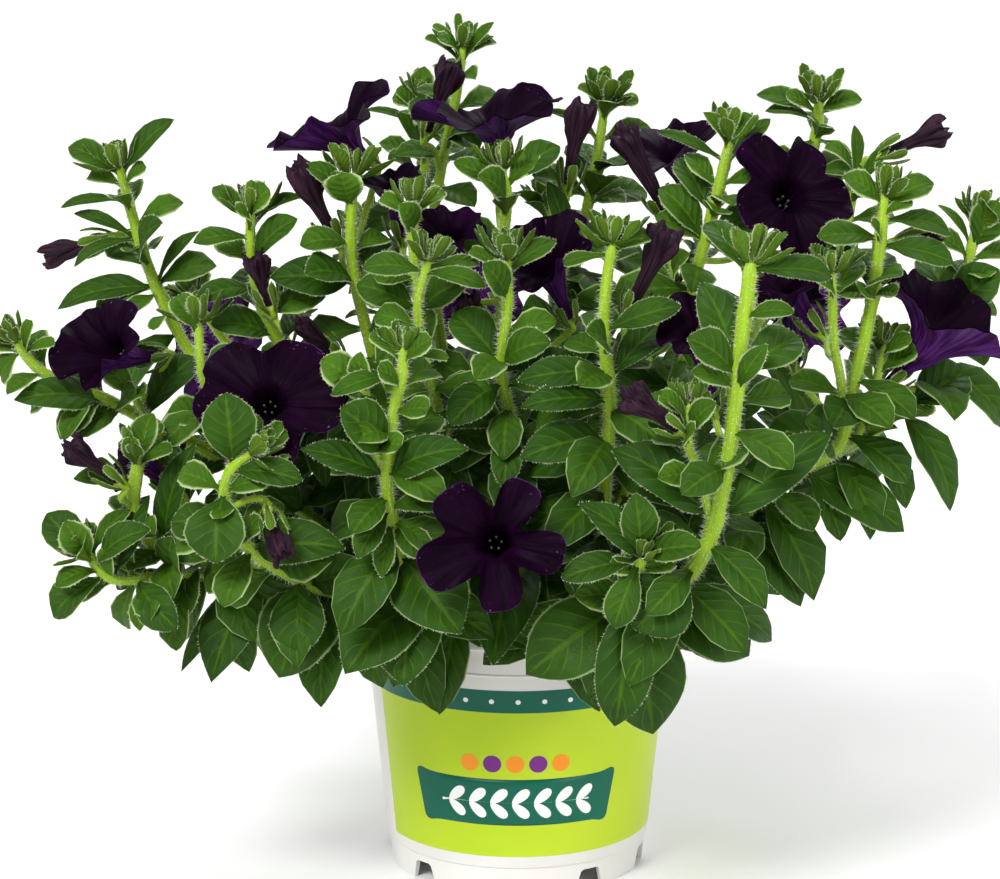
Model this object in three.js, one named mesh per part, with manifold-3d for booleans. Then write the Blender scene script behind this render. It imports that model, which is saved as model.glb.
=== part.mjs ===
// Potted trailing petunia. Millimetres, +Z up, the front faces -Y.
// The origin is the middle of the pot's flat base.
import * as THREE from 'three';
import { mergeVertices } from 'three/addons/utils/BufferGeometryUtils.js';
import Module from 'manifold-3d';

const wasm = await Module();
wasm.setup();

// Pot: a 12 cm nursery pot
const POT_BASE_RADIUS = 47.6;
const POT_TAPER = 0.0987;
const POT_HEIGHT = 103;
const POT_WALL = 1.5;
const POT_SIDES = 22;
const RIM_RADIUS = 59.8;
const RIM_BOTTOM = 95;
const FOOT_HEIGHT = 10.2;
const FOOT_STEP = 0.7;
const PAD_RADIUS = 30;
const PAD_SLOPE = 2;
const FLOOR_RISE = 7.5;
const NOTCH_ANGLES = [-47, 34, 75, 133, 214, 255];
const NOTCH_WIDTH = 9;
const DRAIN_RADIUS = 3.5;
const DRAIN_COUNT = 3;
const DRAIN_PLACE = 38;

// Soil
const SOIL_GAP = 0.4;
const SOIL_EDGE = 90;
const SOIL_TOP = 92.5;
const SOIL_FLAT = 42;
const SOIL_SIDES = 22;
const HOLE_GAP = 0.45;

// Plant
const STEM_SIDES = 3;
const STEM_FILL = 1.35;
const LONG_KNOT = 28;
const STALK_RADIUS = 1.25;
const LEAF_THICKNESS = 1.2;
const LEAF_GAP = 0.35;
const LEAF_ROOT = 0.7;
const BLADE_START = 0.24;
const PETIOLE_HALF_WIDTH = 1.1;
const LEAF_FULLNESS = 1.12;
const CALYX_LENGTH = 5;
const SEPAL_REACH = 9;
const SEPAL_SPREAD = 5.6;
const COROLLA_GAP = 0.3;
const INTERNODE = 35;
const SPARSE_INTERNODE = 120;
const DENSE_START = 11;
const SPARSE_START = 40;
const TIP_ZONE = 14;
const BARE_FOOT = 52;
const BARE_BRANCH = 12;
const FRONT_LIMIT = 65;

const COLOURS = {
  pot: 0xe4e1dc, soil: 0x2f2117, leaf: 0x4c7a26, corolla: 0x35123f, wilted: 0x2a1824,
};

// Each leafy shoot with its stems: the path's knots, the radius at foot and tip, the size of the
// tuft of young leaves at the tip, and the leaves that have a place of their own, each with its
// knot on the stem, the place of its tip and its width
const SHOOTS = {
  "shoot_left_tall": {
    "A": {"path": [[-26, 10, 80], [-38, 8, 112], [-80, 0, 144], [-117, 10, 185], [-133, 15, 214],
      [-142, 20, 241], [-146, 20, 258]],
      "r": [2.4, 1.7], "head": 1.0, "leaves": [
      [5.8, -165, 22, 265, 10], [5.8, -126, 18, 276, 10], [5.2, -169, 25, 242, 5],
      [4.0, -117, 10, 236, 6], [4.0, -171, 20, 205, 11], [3.9, -143, 2, 205, 8],
      [3.6, -133, 0, 201, 6], [4.6, -164, 25, 240, 5], [4.6, -164, 18, 221, 6]]}},
  "shoot_left_far": {
    "B": {"path": [[-32, -2, 80], [-50, -8, 112], [-101, -20, 153], [-134, -30, 174], [-146, -35, 182],
      [-169, -38, 193], [-179, -38, 205]],
      "r": [2.4, 1.8], "head": 0.8, "leaves": [
      [5.7, -185, -36, 191, 12], [5.8, -180, -36, 210, 5], [5.6, -164, -46, 206, 5],
      [4.1, -179, -48, 186, 13], [3.0, -116, -22, 196, 15],
      [2.6, -128, -40, 152, 15], [3.6, -160, -44, 172, 13], [2.2, -112, -16, 184, 14]]},
    "D": {"path": [[-98, -19, 151], [-104, -38, 168], [-111, -52, 194], [-113, -50, 215]],
      "r": [1.7, 1.5], "head": 0.9, "leaves": [[2.8, -120, -52, 224, 9],
      [1.4, -124, -52, 182, 12], [2.0, -98, -60, 206, 11], [1.0, -86, -46, 168, 13]]},
    "B2": {"path": [[-132, -29, 173], [-136, -37, 182], [-138, -42, 190]],
      "r": [1.4, 1.3], "head": 0.9, "leaves": []}},
  "shoot_left_low": {
    "V": {"path": [[-30, -14, 80], [-48, -28, 111], [-90, -52, 124], [-125, -62, 134],
      [-135, -68, 150], [-133, -66, 170]],
      "r": [2.6, 2.2], "head": 1.0, "leaves": [
      [4.8, -135, -74, 178, 7], [4.8, -121, -72, 174, 6], [4.9, -128, -66, 185, 10],
      [4.5, -156, -72, 163, 7], [2.0, -109, -80, 91, 19], [2.0, -121, -64, 90, 9],
      [3.0, -114, -64, 174, 11], [2.6, -119, -78, 112, 13], [3.2, -106, -76, 137, 14]]},
    "W": {"path": [[-88, -51, 123], [-118, -68, 127], [-142, -75, 127], [-152, -76, 138]],
      "r": [1.8, 1.5], "head": 0.8, "leaves": [
      [2.8, -158, -82, 150, 11], [2.5, -128, -88, 149, 11], [2.8, -136, -72, 152, 7],
      [2.4, -162, -84, 127, 8], [2.2, -164, -78, 114, 13], [1.6, -119, -94, 114, 13],
      [1.5, -133, -82, 110, 7],
      [2.0, -130, -66, 156, 13], [2.6, -166, -70, 150, 13]]}},
  "shoot_left_front": {
    "U": {"path": [[-20, -22, 80], [-36, -46, 111], [-66, -80, 124], [-92, -102, 145],
      [-100, -108, 164], [-98, -110, 175], [-90, -112, 182]],
      "r": [2.4, 1.8], "head": 1.0, "leaves": [
      [5.2, -99, -114, 203, 17], [5.0, -73, -120, 174, 10], [4.2, -103, -124, 146, 19],
      [3.0, -59, -114, 149, 15], [2.0, -84, -96, 97, 27], [2.3, -75, -108, 109, 18]]}},
  "shoot_left_middle": {
    "C": {"path": [[-19, -6, 80], [-30, -10, 120], [-62, -18, 168], [-87, -30, 205], [-93, -32, 222],
      [-95, -32, 238], [-95, -30, 250]],
      "r": [2.2, 1.7], "head": 1.0, "leaves": [
      [5.8, -88, -36, 259, 11], [5.8, -109, -24, 258, 7], [5.8, -76, -20, 254, 5],
      [5.2, -115, -40, 241, 8], [4.6, -77, -42, 246, 11], [4.0, -114, -46, 221, 10],
      [3.0, -109, -42, 212, 13],
      [2.6, -104, -36, 190, 13], [1.8, -84, -34, 168, 14]]}},
  "shoot_centre_left": {
    "G": {"path": [[-12, -14, 80], [-20, -20, 120], [-42, -30, 163], [-54, -38, 209], [-59, -38, 234],
      [-59, -36, 250], [-59, -32, 263]],
      "r": [2.2, 1.8], "head": 1.0, "leaves": [
      [5.2, -62, -44, 266, 13], [5.5, -77, -38, 267, 8], [4.3, -77, -46, 241, 11],
      [3.6, -88, -42, 229, 15]]}},
  "shoot_centre_small": {
    "H": {"path": [[-8, -6, 80], [-14, -16, 120], [-31, -40, 173], [-35, -55, 219], [-37, -55, 244],
      [-37, -52, 257]],
      "r": [2.1, 1.6], "head": 0.9, "leaves": [
      [4.2, -41, -66, 259, 10], [4.6, -48, -50, 259, 6], [4.6, -26, -50, 261, 6]]}},
  "shoot_top_left": {
    "E": {"path": [[-10, 6, 80], [-16, 12, 120], [-25, 20, 170], [-32, 30, 221], [-29, 36, 250],
      [-23, 38, 279], [-20, 38, 300]],
      "r": [2.3, 1.6], "head": 0.8, "leaves": [
      [5.7, -34, 40, 303, 4], [5.8, -31, 36, 308, 4], [5.9, -22, 37, 312, 3],
      [5.7, -9, 36, 309, 5]]},
    "F": {"path": [[-20, 16, 145], [-33, 44, 185], [-37, 60, 215], [-35, 62, 249], [-36, 60, 278]],
      "r": [1.9, 1.5], "head": 0.8, "leaves": [
      [3.8, -35, 60, 289, 9], [3.7, -45, 58, 281, 6], [3.6, -57, 60, 273, 4],
      [3.1, -45, 52, 273, 8]]}},
  "shoot_centre": {
    "I": {"path": [[0, -6, 80], [-3, -8, 120], [-6, -10, 169], [-6, -20, 216], [-5, -24, 240],
      [-4, -24, 253], [-6, -22, 265]],
      "r": [2.1, 1.7], "head": 0.9, "leaves": [
      [5.0, -14, -36, 264, 12], [5.4, -23, -24, 267, 8], [5.4, 15, -18, 272, 11]]}},
  "shoot_front_centre": {
    "K": {"path": [[0, -20, 80], [-1, -38, 112], [-2, -55, 143], [-2, -70, 178], [-6, -75, 202],
      [-4, -76, 224], [-4, -74, 242]],
      "r": [2.3, 1.7], "head": 1.0, "leaves": [
      [5.2, -12, -86, 242, 11], [5.7, 13, -74, 248, 7], [5.7, -17, -70, 244, 5],
      [3.8, -24, -92, 187, 13], [3.2, -36, -92, 186, 8], [4.0, 22, -80, 206, 9],
      [3.2, -5, -96, 165, 10], [1.6, -9, -104, 105, 22]]},
    "L": {"path": [[-2, -52, 138], [-18, -62, 160], [-30, -73, 195], [-35, -78, 224], [-31, -76, 242]],
      "r": [1.8, 1.5], "head": 0.9, "leaves": [
      [3.7, -54, -82, 240, 9], [3.7, -11, -86, 234, 7], [3.8, -13, -70, 239, 5]]}},
  "shoot_front_left": {
    "Y": {"path": [[-8, -30, 80], [-18, -52, 110], [-35, -80, 124], [-41, -98, 144],
      [-45, -105, 167], [-43, -106, 192], [-40, -105, 206], [-39, -104, 217]],
      "r": [2.5, 1.8], "head": 0.7, "leaves": [
      [6.7, -24, -104, 213, 4], [6.1, -64, -112, 202, 7], [4.2, -74, -114, 184, 10],
      [4.2, -17, -118, 185, 13], [3.7, -55, -120, 147, 9], [3.7, -20, -120, 166, 9],
      [3.5, -47, -116, 139, 7], [3.4, -30, -118, 146, 10], [2.0, -60, -112, 104, 24],
      [2.2, -40, -108, 98, 23], [2.9, -20, -122, 121, 24]]},
    "Y2": {"path": [[-45, -105, 166], [-50, -104, 188], [-51, -102, 198], [-56, -100, 203]],
      "r": [1.5, 1.3], "head": 0.6, "leaves": [[2.8, -67, -106, 213, 12]]}},
  "shoot_top_right": {
    "J": {"path": [[8, 4, 80], [12, 10, 125], [16, 15, 171], [21, 18, 219], [27, 20, 249],
      [30, 20, 267], [32, 18, 283]],
      "r": [2.2, 1.6], "head": 1.0, "leaves": [
      [5.8, 22, 18, 288, 5], [5.8, 44, 16, 283, 6], [4.3, 44, 8, 262, 8],
      [5.0, 9, 14, 280, 4], [3.8, 39, 8, 247, 10]]},
    "J2": {"path": [[16, 14, 165], [15, 0, 201], [17, -6, 236]],
      "r": [1.8, 1.5], "head": 0, "leaves": [[1.8, 11, -12, 258, 8]]}},
  "shoot_right_centre": {
    "M": {"path": [[14, -8, 80], [32, -14, 130], [55, -20, 179], [61, -34, 219], [66, -38, 241],
      [70, -38, 257], [75, -34, 277]],
      "r": [2.4, 1.9], "head": 1.1, "leaves": [
      [5.6, 49, -36, 280, 5], [5.6, 95, -36, 277, 6], [5.8, 65, -38, 287, 6],
      [5.8, 81, -34, 286, 5], [5.2, 87, -46, 264, 7], [4.8, 78, -52, 258, 10],
      [4.6, 57, -26, 269, 13]]},
    "M2": {"path": [[60, -32, 212], [56, -31, 226], [54, -28, 234]],
      "r": [1.6, 1.4], "head": 0, "leaves": []}},
  "shoot_front_right_mid": {
    "N": {"path": [[12, -24, 80], [20, -48, 110], [29, -75, 134], [30, -88, 166], [31, -92, 195],
      [29, -92, 220], [30, -90, 237], [32, -88, 250]],
      "r": [2.4, 1.8], "head": 1.0, "leaves": [
      [6.6, 15, -90, 243, 5], [6.7, 46, -86, 250, 7], [5.0, 55, -98, 230, 10],
      [4.3, 49, -74, 218, 11], [4.4, -1, -98, 204, 11], [4.0, 0, -104, 196, 10],
      [3.5, 0, -108, 179, 15]]}},
  "shoot_front_right": {
    "O": {"path": [[22, -26, 80], [29, -42, 112], [48, -95, 127], [61, -118, 145], [67, -124, 165],
      [71, -126, 189], [73, -126, 215], [76, -124, 240], [77, -122, 250]],
      "r": [2.9, 2.3], "head": 1.1, "leaves": [
      [2.8, 39, -128, 124, 23], [7.6, 105, -118, 244, 10], [7.4, 62, -110, 261, 10],
      [6.0, 61, -116, 242, 15], [6.6, 91, -134, 235, 7], [5.7, 57, -134, 215, 8],
      [5.7, 82, -134, 224, 7], [3.8, 31, -112, 184, 17], [3.8, 106, -114, 190, 15],
      [2.0, 81, -96, 105, 22], [2.4, 90, -88, 108, 13]]},
    "O2": {"path": [[65, -122, 158], [61, -126, 177], [57, -124, 187], [57, -122, 202]],
      "r": [1.6, 1.4], "head": 0.7, "leaves": []}},
  "shoot_front_low": {
    "T": {"path": [[4, -32, 80], [12, -50, 111], [35, -98, 124], [40, -118, 141], [41, -122, 149]],
      "r": [2.3, 1.9], "head": 1.0, "leaves": [
      [3.9, 20, -134, 170, 11], [3.9, 39, -130, 172, 12], [3.9, 61, -134, 155, 11],
      [3.6, 14, -128, 142, 10], [3.5, 32, -124, 123, 11], [2.0, 2, -112, 103, 24],
      [2.4, 33, -114, 84, 18], [2.1, 47, -106, 79, 26]]}},
  "shoot_right_top": {
    "P": {"path": [[22, 10, 80], [40, 18, 125], [76, 30, 172], [102, 44, 222], [111, 48, 263],
      [112, 46, 279]],
      "r": [2.2, 1.7], "head": 1.0, "leaves": [
      [4.6, 89, 52, 280, 9], [4.6, 128, 44, 279, 9], [4.8, 107, 46, 289, 6],
      [4.8, 119, 46, 286, 5], [4.0, 103, 40, 257, 7], [4.0, 123, 40, 257, 7],
      [4.3, 92, 50, 274, 6]]},
    "Q": {"path": [[76, 30, 172], [98, 28, 195], [119, 28, 225], [125, 28, 254]],
      "r": [1.8, 1.5], "head": 0, "leaves": [[2.9, 124, 28, 272, 5], [2.8, 138, 28, 265, 5]]}},
  "shoot_right_long": {
    "R": {"path": [[28, -14, 80], [40, -32, 112], [75, -78, 150], [98, -74, 166], [112, -70, 174],
      [116, -68, 192], [121, -66, 213], [124, -64, 232], [126, -62, 251], [127, -60, 262]],
      "r": [2.6, 2.0], "head": 1.0, "leaves": [
      [8.6, 112, -66, 269, 10], [8.6, 144, -62, 266, 10], [8.1, 151, -58, 247, 9],
      [7.6, 151, -68, 239, 11], [7.7, 103, -72, 249, 10], [6.7, 109, -74, 230, 8],
      [6.7, 131, -72, 229, 7], [3.0, 136, -76, 145, 19], [2.5, 102, -94, 150, 14],
      [2.0, 99, -90, 121, 17]]},
    "R2": {"path": [[113, -69, 181], [112, -75, 197], [109, -76, 213], [108, -76, 238]],
      "r": [1.7, 1.5], "head": 0.8, "leaves": []},
    "R3": {"path": [[110, -71, 172], [118, -66, 176], [124, -60, 189], [129, -56, 208]],
      "r": [1.7, 1.5], "head": 0.8, "leaves": []},
    "S": {"path": [[104, -72, 169], [121, -54, 172], [138, -38, 181], [149, -30, 194],
      [156, -26, 217], [161, -24, 231], [164, -22, 248]],
      "r": [2.0, 1.6], "head": 0.8, "leaves": [
      [5.3, 171, -24, 253, 13], [5.3, 150, -20, 251, 4], [2.4, 144, -40, 178, 9],
      [2.0, 161, -30, 192, 17], [1.0, 128, -64, 168, 11]]}},
  "shoot_back_left": {
    "b1": {"path": [[-24, 20, 80], [-44, 33, 114], [-92, 56, 160], [-124, 66, 200]],
      "r": [2.2, 1.6], "head": 1.0, "leaves": []}},
  "shoot_back_left_mid": {
    "b2": {"path": [[-14, 26, 80], [-32, 50, 113], [-74, 92, 150], [-96, 108, 185]],
      "r": [2.2, 1.6], "head": 1.0, "leaves": []}},
  "shoot_back_left_high": {
    "b3": {"path": [[-8, 15, 80], [-20, 44, 126], [-46, 80, 178], [-58, 92, 222]],
      "r": [2.1, 1.6], "head": 1.0, "leaves": []}},
  "shoot_back_low": {
    "b4": {"path": [[-4, 31, 80], [-12, 58, 112], [-26, 112, 142], [-32, 132, 174]],
      "r": [2.2, 1.6], "head": 1.0, "leaves": []}},
  "shoot_back_high": {
    "b5": {"path": [[5, 20, 80], [8, 46, 130], [14, 84, 184], [12, 94, 230]],
      "r": [2.1, 1.6], "head": 1.0, "leaves": []}},
  "shoot_back_right_low": {
    "b6": {"path": [[12, 30, 80], [22, 56, 113], [48, 108, 146], [56, 126, 180]],
      "r": [2.2, 1.6], "head": 1.0, "leaves": []}},
  "shoot_back_right_mid": {
    "b7": {"path": [[22, 22, 80], [40, 44, 116], [80, 78, 165], [94, 88, 205]],
      "r": [2.2, 1.6], "head": 1.0, "leaves": []}},
  "shoot_back_right": {
    "b8": {"path": [[31, 8, 80], [52, 20, 113], [106, 42, 145], [134, 48, 182]],
      "r": [2.2, 1.6], "head": 1.0, "leaves": []}},
};

// Each flower: the stem and knot that its stalk leaves, a point that the stalk passes, the foot
// of its corolla, the middle of its mouth, the way that it faces and how wide it is
const FLOWERS = {
  "bloom_top_left": {"kind": "open", "stem": "G", "at": 4.0, "via": [-55, -16, 246],
    "base": [-53, -5, 264], "mouth": [-68, -14, 282], "facing": [-0.45, 0.05, 0.9], "diameter": 50,
    "throat": 0.52},
  "bloom_top_centre": {"kind": "open", "stem": "I", "at": 3.7, "via": [-7, -8, 248],
    "base": [-6, 4, 262], "mouth": [-9, -2, 284], "facing": [-0.1, 0.0, 0.99], "diameter": 54,
    "throat": 0.5},
  "bloom_left_far": {"kind": "open", "stem": "B", "at": 3.3, "via": [-131, -25, 186],
    "base": [-128, -30, 198], "mouth": [-149, -52, 207], "facing": [-0.5, -0.6, 0.62], "diameter": 37,
    "throat": 0.6},
  "bloom_left_front": {"kind": "open", "stem": "C", "at": 2.5, "via": [-78, -44, 182],
    "base": [-82, -66, 182], "mouth": [-87, -92, 197], "facing": [-0.05, -0.72, 0.68], "diameter": 53},
  "bloom_front": {"kind": "open", "stem": "K", "at": 1.8, "via": [-2, -70, 134],
    "base": [-2, -90, 138], "mouth": [-8, -130, 155], "facing": [0.08, -0.96, 0.2], "diameter": 49},
  "bloom_right_top": {"kind": "open", "stem": "M", "at": 3.6, "via": [76, -26, 232],
    "base": [87, -18, 240], "mouth": [97, -44, 260], "facing": [0.3, -0.8, 0.45], "diameter": 46},
  "bloom_right_far": {"kind": "open", "stem": "S", "at": 2.5, "via": [134, -46, 188],
    "base": [130, -54, 193], "mouth": [153, -60, 221], "facing": [0.5, -0.15, 0.85], "diameter": 50,
    "throat": 0.45},
  "bloom_centre": {"kind": "open", "stem": "I", "at": 2.6, "via": [8, -26, 198],
    "base": [18, -38, 213], "mouth": [8, -54, 242], "facing": [-0.25, -0.55, 0.8], "diameter": 36,
    "throat": 0.6},
  "bloom_front_right": {"kind": "open", "stem": "O", "at": 4.5, "via": [70, -104, 180],
    "base": [67, -88, 192], "mouth": [58, -100, 224], "facing": [-0.35, -0.5, 0.75], "diameter": 28},
  "bloom_right_inner": {"kind": "open", "stem": "S", "at": 1.0, "via": [110, -32, 178],
    "base": [100, -14, 191], "mouth": [98, -26, 219], "facing": [0, -0.45, 0.9], "diameter": 26},
  "bloom_left_low": {"kind": "open", "stem": "V", "at": 3.4, "via": [-124, -50, 143],
    "base": [-122, -46, 152], "mouth": [-139, -49, 166], "facing": [-0.8, -0.3, 0.5], "diameter": 26},
  "bloom_right_high": {"kind": "open", "stem": "M", "at": 3.8, "via": [63, -14, 240],
    "base": [62, 2, 250], "mouth": [55, -8, 274], "facing": [-0.2, -0.15, 0.96], "diameter": 40,
    "throat": 0.6},
  "bloom_centre_left": {"kind": "open", "stem": "H", "at": 3.4, "via": [-41, -32, 230],
    "base": [-42, -14, 238], "mouth": [-45, -20, 260], "facing": [-0.1, -0.3, 0.95], "diameter": 24},
  "bloom_right_small": {"kind": "open", "stem": "R2", "at": 1.6, "via": [108, -66, 206],
    "base": [105, -60, 213], "mouth": [94, -64, 232], "facing": [-0.3, -0.4, 0.86], "diameter": 26},
  "bloom_centre_dark": {"kind": "open", "stem": "I", "at": 3.0, "via": [-14, -24, 216],
    "base": [-22, -26, 224], "mouth": [-24, -40, 246], "facing": [-0.1, -0.5, 0.85], "diameter": 28},
  "bloom_back": {"kind": "open", "stem": "b5", "at": 2.0, "via": [-2, 104, 178],
    "base": [-8, 114, 182], "mouth": [-16, 136, 192], "facing": [-0.2, 0.93, 0.3], "diameter": 50},
  "bloom_back_right": {"kind": "open", "stem": "b7", "at": 2.0, "via": [92, 96, 168],
    "base": [98, 106, 176], "mouth": [112, 126, 184], "facing": [0.5, 0.82, 0.25], "diameter": 50},
  "bloom_back_left": {"kind": "open", "stem": "b2", "at": 2.0, "via": [-88, 98, 156],
    "base": [-98, 106, 162], "mouth": [-118, 122, 168], "facing": [-0.65, 0.72, 0.2], "diameter": 48},
  "wilted_top": {"kind": "wilted", "stem": "E", "at": 4.1, "via": [-31, 31, 262],
    "base": [-33, 24, 270], "mouth": [-24, 20, 296], "facing": [0.3, -0.1, 0.95], "diameter": 10},
  "wilted_top_right": {"kind": "wilted", "stem": "J2", "at": 2.0, "via": [17, -8, 244],
    "base": [18, -9, 256], "mouth": [23, -12, 286], "facing": [0.2, -0.1, 0.97], "diameter": 10},
  "wilted_right": {"kind": "wilted", "stem": "M2", "at": 2.0, "via": [54, -27, 240],
    "base": [52, -26, 249], "mouth": [36, -36, 280], "facing": [-0.5, -0.3, 0.85], "diameter": 11},
  "wilted_front": {"kind": "wilted", "stem": "N", "at": 4.2, "via": [36, -84, 212],
    "base": [38, -80, 224], "mouth": [51, -86, 254], "facing": [0.4, -0.2, 0.9], "diameter": 11},
  "wilted_left_high": {"kind": "wilted", "stem": "G", "at": 3.6, "via": [-62, -32, 230],
    "base": [-65, -30, 240], "mouth": [-78, -36, 268], "facing": [-0.4, -0.2, 0.9], "diameter": 11},
  "wilted_left_small": {"kind": "wilted", "stem": "G", "at": 2.6, "via": [-58, -40, 190],
    "base": [-64, -42, 199], "mouth": [-77, -50, 214], "facing": [-0.6, -0.4, 0.7], "diameter": 8},
  "wilted_left_low": {"kind": "wilted", "stem": "V", "at": 4.1, "via": [-139, -74, 156],
    "base": [-140, -76, 163], "mouth": [-156, -82, 177], "facing": [-0.7, -0.3, 0.6], "diameter": 9},
  "wilted_front_low": {"kind": "wilted", "stem": "U", "at": 3.8, "via": [-91, -110, 165],
    "base": [-85, -114, 161], "mouth": [-80, -126, 149], "facing": [0.3, -0.7, -0.6], "diameter": 9},
  "wilted_left_tall": {"kind": "wilted", "stem": "A", "at": 4.5, "via": [-146, 22, 232],
    "base": [-152, 24, 230], "mouth": [-175, 30, 222], "facing": [-0.9, 0.2, -0.3], "diameter": 9},
  "wilted_right_top": {"kind": "wilted", "stem": "Q", "at": 3.0, "via": [128, 27, 259],
    "base": [134, 26, 261], "mouth": [157, 26, 271], "facing": [0.9, 0, 0.4], "diameter": 10},
  "wilted_front_right": {"kind": "wilted", "stem": "O2", "at": 1.6, "via": [56, -127, 188],
    "base": [53, -129, 194], "mouth": [36, -135, 207], "facing": [-0.75, -0.25, 0.55], "diameter": 11},
  "bud_left": {"kind": "wilted", "stem": "C", "at": 3.4, "via": [-89, -36, 214],
    "base": [-88, -40, 218], "mouth": [-93, -42, 236], "facing": [-0.2, -0.1, 0.95], "diameter": 9},
  "wilted_right_far": {"kind": "wilted", "stem": "R", "at": 7.6, "via": [130, -54, 242],
    "base": [135, -50, 243], "mouth": [147, -50, 244], "facing": [0.95, 0, 0.1], "diameter": 8},
  "bud_centre": {"kind": "wilted", "stem": "K", "at": 4.2, "via": [-13, -66, 208],
    "base": [-17, -60, 213], "mouth": [-18, -62, 226], "facing": [-0.1, -0.2, 0.95], "diameter": 9},
};

// Small tools

const vector = (p) => new THREE.Vector3(p[0], p[1], p[2]);
const UP = new THREE.Vector3(0, 0, 1);

// A repeatable number from 0 to 1 for a seed and a count
function chance(seed, count) {
  let t = (Math.imul(seed, 2654435761) ^ Math.imul(count + 1, 1597334677)) >>> 0;
  t = Math.imul(t ^ (t >>> 15), t | 1);
  t ^= t + Math.imul(t ^ (t >>> 7), t | 61);
  return ((t ^ (t >>> 14)) >>> 0) / 4294967296;
}

// A solid from points and faces, turned so that its faces point out
function solidFrom(points, faces) {
  const vertProperties = new Float32Array(points.length * 3);
  points.forEach((p, i) => vertProperties.set([p.x, p.y, p.z], i * 3));
  const volume = faces.reduce((sum, [a, b, c]) => sum
    + points[a].dot(new THREE.Vector3().crossVectors(points[b], points[c])) / 6, 0);
  const turned = volume < 0 ? faces.map(([a, b, c]) => [a, c, b]) : faces;
  const triVerts = new Uint32Array(turned.flat());
  return new wasm.Manifold(new wasm.Mesh({ numProp: 3, vertProperties, triVerts }));
}

function solidFromGeometry(geometry) {
  geometry.deleteAttribute('normal');
  geometry.deleteAttribute('uv');
  const merged = mergeVertices(geometry.index ? geometry.toNonIndexed() : geometry, 1e-4);
  const place = merged.attributes.position;
  const points = Array.from({ length: place.count }, (_, i) =>
    new THREE.Vector3(place.getX(i), place.getY(i), place.getZ(i)));
  const faces = [];
  for (let i = 0; i < merged.index.count; i += 3) {
    const face = [0, 1, 2].map((k) => merged.index.getX(i + k));
    if (new Set(face).size === 3) faces.push(face);
  }
  return solidFrom(points, faces);
}

// Faces that join two closed rings of points, whose counts may differ
function bridge(lower, upper) {
  const faces = [];
  let i = 0;
  let j = 0;
  while (i < lower.length || j < upper.length) {
    const a = lower[i % lower.length];
    const b = upper[j % upper.length];
    const lowerIsBehind = (i + 0.5) / lower.length <= (j + 0.5) / upper.length;
    if (j >= upper.length || (i < lower.length && lowerIsBehind)) {
      faces.push([a, lower[(i + 1) % lower.length], b]);
      i += 1;
    } else {
      faces.push([a, upper[(j + 1) % upper.length], b]);
      j += 1;
    }
  }
  return faces;
}

// Rings of points joined one to the next, closed by a fan over the first and the last
function ringSolid(rings) {
  const points = [];
  const indices = rings.map((ring) => ring.map((p) => points.push(p) - 1));
  const faces = [];
  for (let k = 0; k + 1 < rings.length; k += 1) faces.push(...bridge(indices[k], indices[k + 1]));
  const first = indices[0];
  const last = indices[indices.length - 1];
  for (let k = 1; k + 1 < first.length; k += 1) faces.push([first[0], first[k + 1], first[k]]);
  for (let k = 1; k + 1 < last.length; k += 1) faces.push([last[0], last[k], last[k + 1]]);
  return solidFrom(points, faces.filter((face) => new Set(face).size === 3));
}

// Stems

function smoothCurve(points) {
  return new THREE.CatmullRomCurve3(points, false, 'catmullrom', 0.5);
}

// A stem's middle line: straight stretches between stops on the smooth curve through its knots.
// There is a stop at each knot, and one between two knots that lie far apart.
function stemLine(path) {
  const knots = path.map(vector);
  const curve = smoothCurve(knots);
  const last = knots.length - 1;
  const stops = [0];
  for (let k = 0; k < last; k += 1) {
    const rooted = k === 0 && knots[0].z < SOIL_TOP;
    if (!rooted && knots[k].distanceTo(knots[k + 1]) > LONG_KNOT) stops.push(k + 0.5);
    stops.push(k + 1);
  }
  return { last, stops, centres: stops.map((at) => curve.getPoint(at / last)), curve };
}

// The point and direction of a stem at a knot number, such as 2.5 for halfway from knot 2 to 3
function along(line, at) {
  const { last, stops, centres, curve } = line;
  const k = Math.min(Math.max(stops.findIndex((stop) => stop >= at), 1), stops.length - 1);
  const share = Math.min(Math.max((at - stops[k - 1]) / (stops[k] - stops[k - 1]), 0), 1);
  const t = at / last;
  const before = curve.getPoint(Math.max(t - 0.01, 0));
  const after = curve.getPoint(Math.min(t + 0.01, 1));
  const point = centres[k - 1].clone().lerp(centres[k], share);
  return { point, direction: after.sub(before).normalize() };
}

// Rings of points round a stem's middle line, which taper from its foot to its tip
function tubeRings(line, startRadius, endRadius) {
  let side = new THREE.Vector3(0.3, 1, 0.2);
  return line.stops.map((at) => {
    const { point, direction } = along(line, at);
    side = side.clone().addScaledVector(direction, -side.dot(direction)).normalize();
    const across = new THREE.Vector3().crossVectors(direction, side);
    const radius = STEM_FILL * THREE.MathUtils.lerp(startRadius, endRadius, at / line.last);
    return Array.from({ length: STEM_SIDES }, (_, i) => {
      const angle = (i / STEM_SIDES) * 2 * Math.PI;
      return point.clone()
        .addScaledVector(side, radius * Math.cos(angle))
        .addScaledVector(across, radius * Math.sin(angle));
    });
  });
}

const tube = (line, startRadius, endRadius) => ringSolid(tubeRings(line, startRadius, endRadius));

// Leaves

// A leaf lies on an arched midrib from its base to its tip, its sides lifted by the fold
function leafForm(leaf) {
  const chord = leaf.tip.clone().sub(leaf.base);
  const length = chord.length();
  const forward = chord.clone().divideScalar(length);
  const face = leaf.face.clone().addScaledVector(forward, -leaf.face.dot(forward)).normalize();
  const side = new THREE.Vector3().crossVectors(forward, face);
  const arch = 4 * leaf.bend * length;
  return {
    length,
    forward,
    face,
    side,
    rib: (u) => leaf.base.clone().addScaledVector(chord, u).addScaledVector(face, arch * u * (1 - u)),
    normal: (u) => face.clone().multiplyScalar(length)
      .addScaledVector(forward, -arch * (1 - 2 * u)).normalize(),
  };
}

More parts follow.
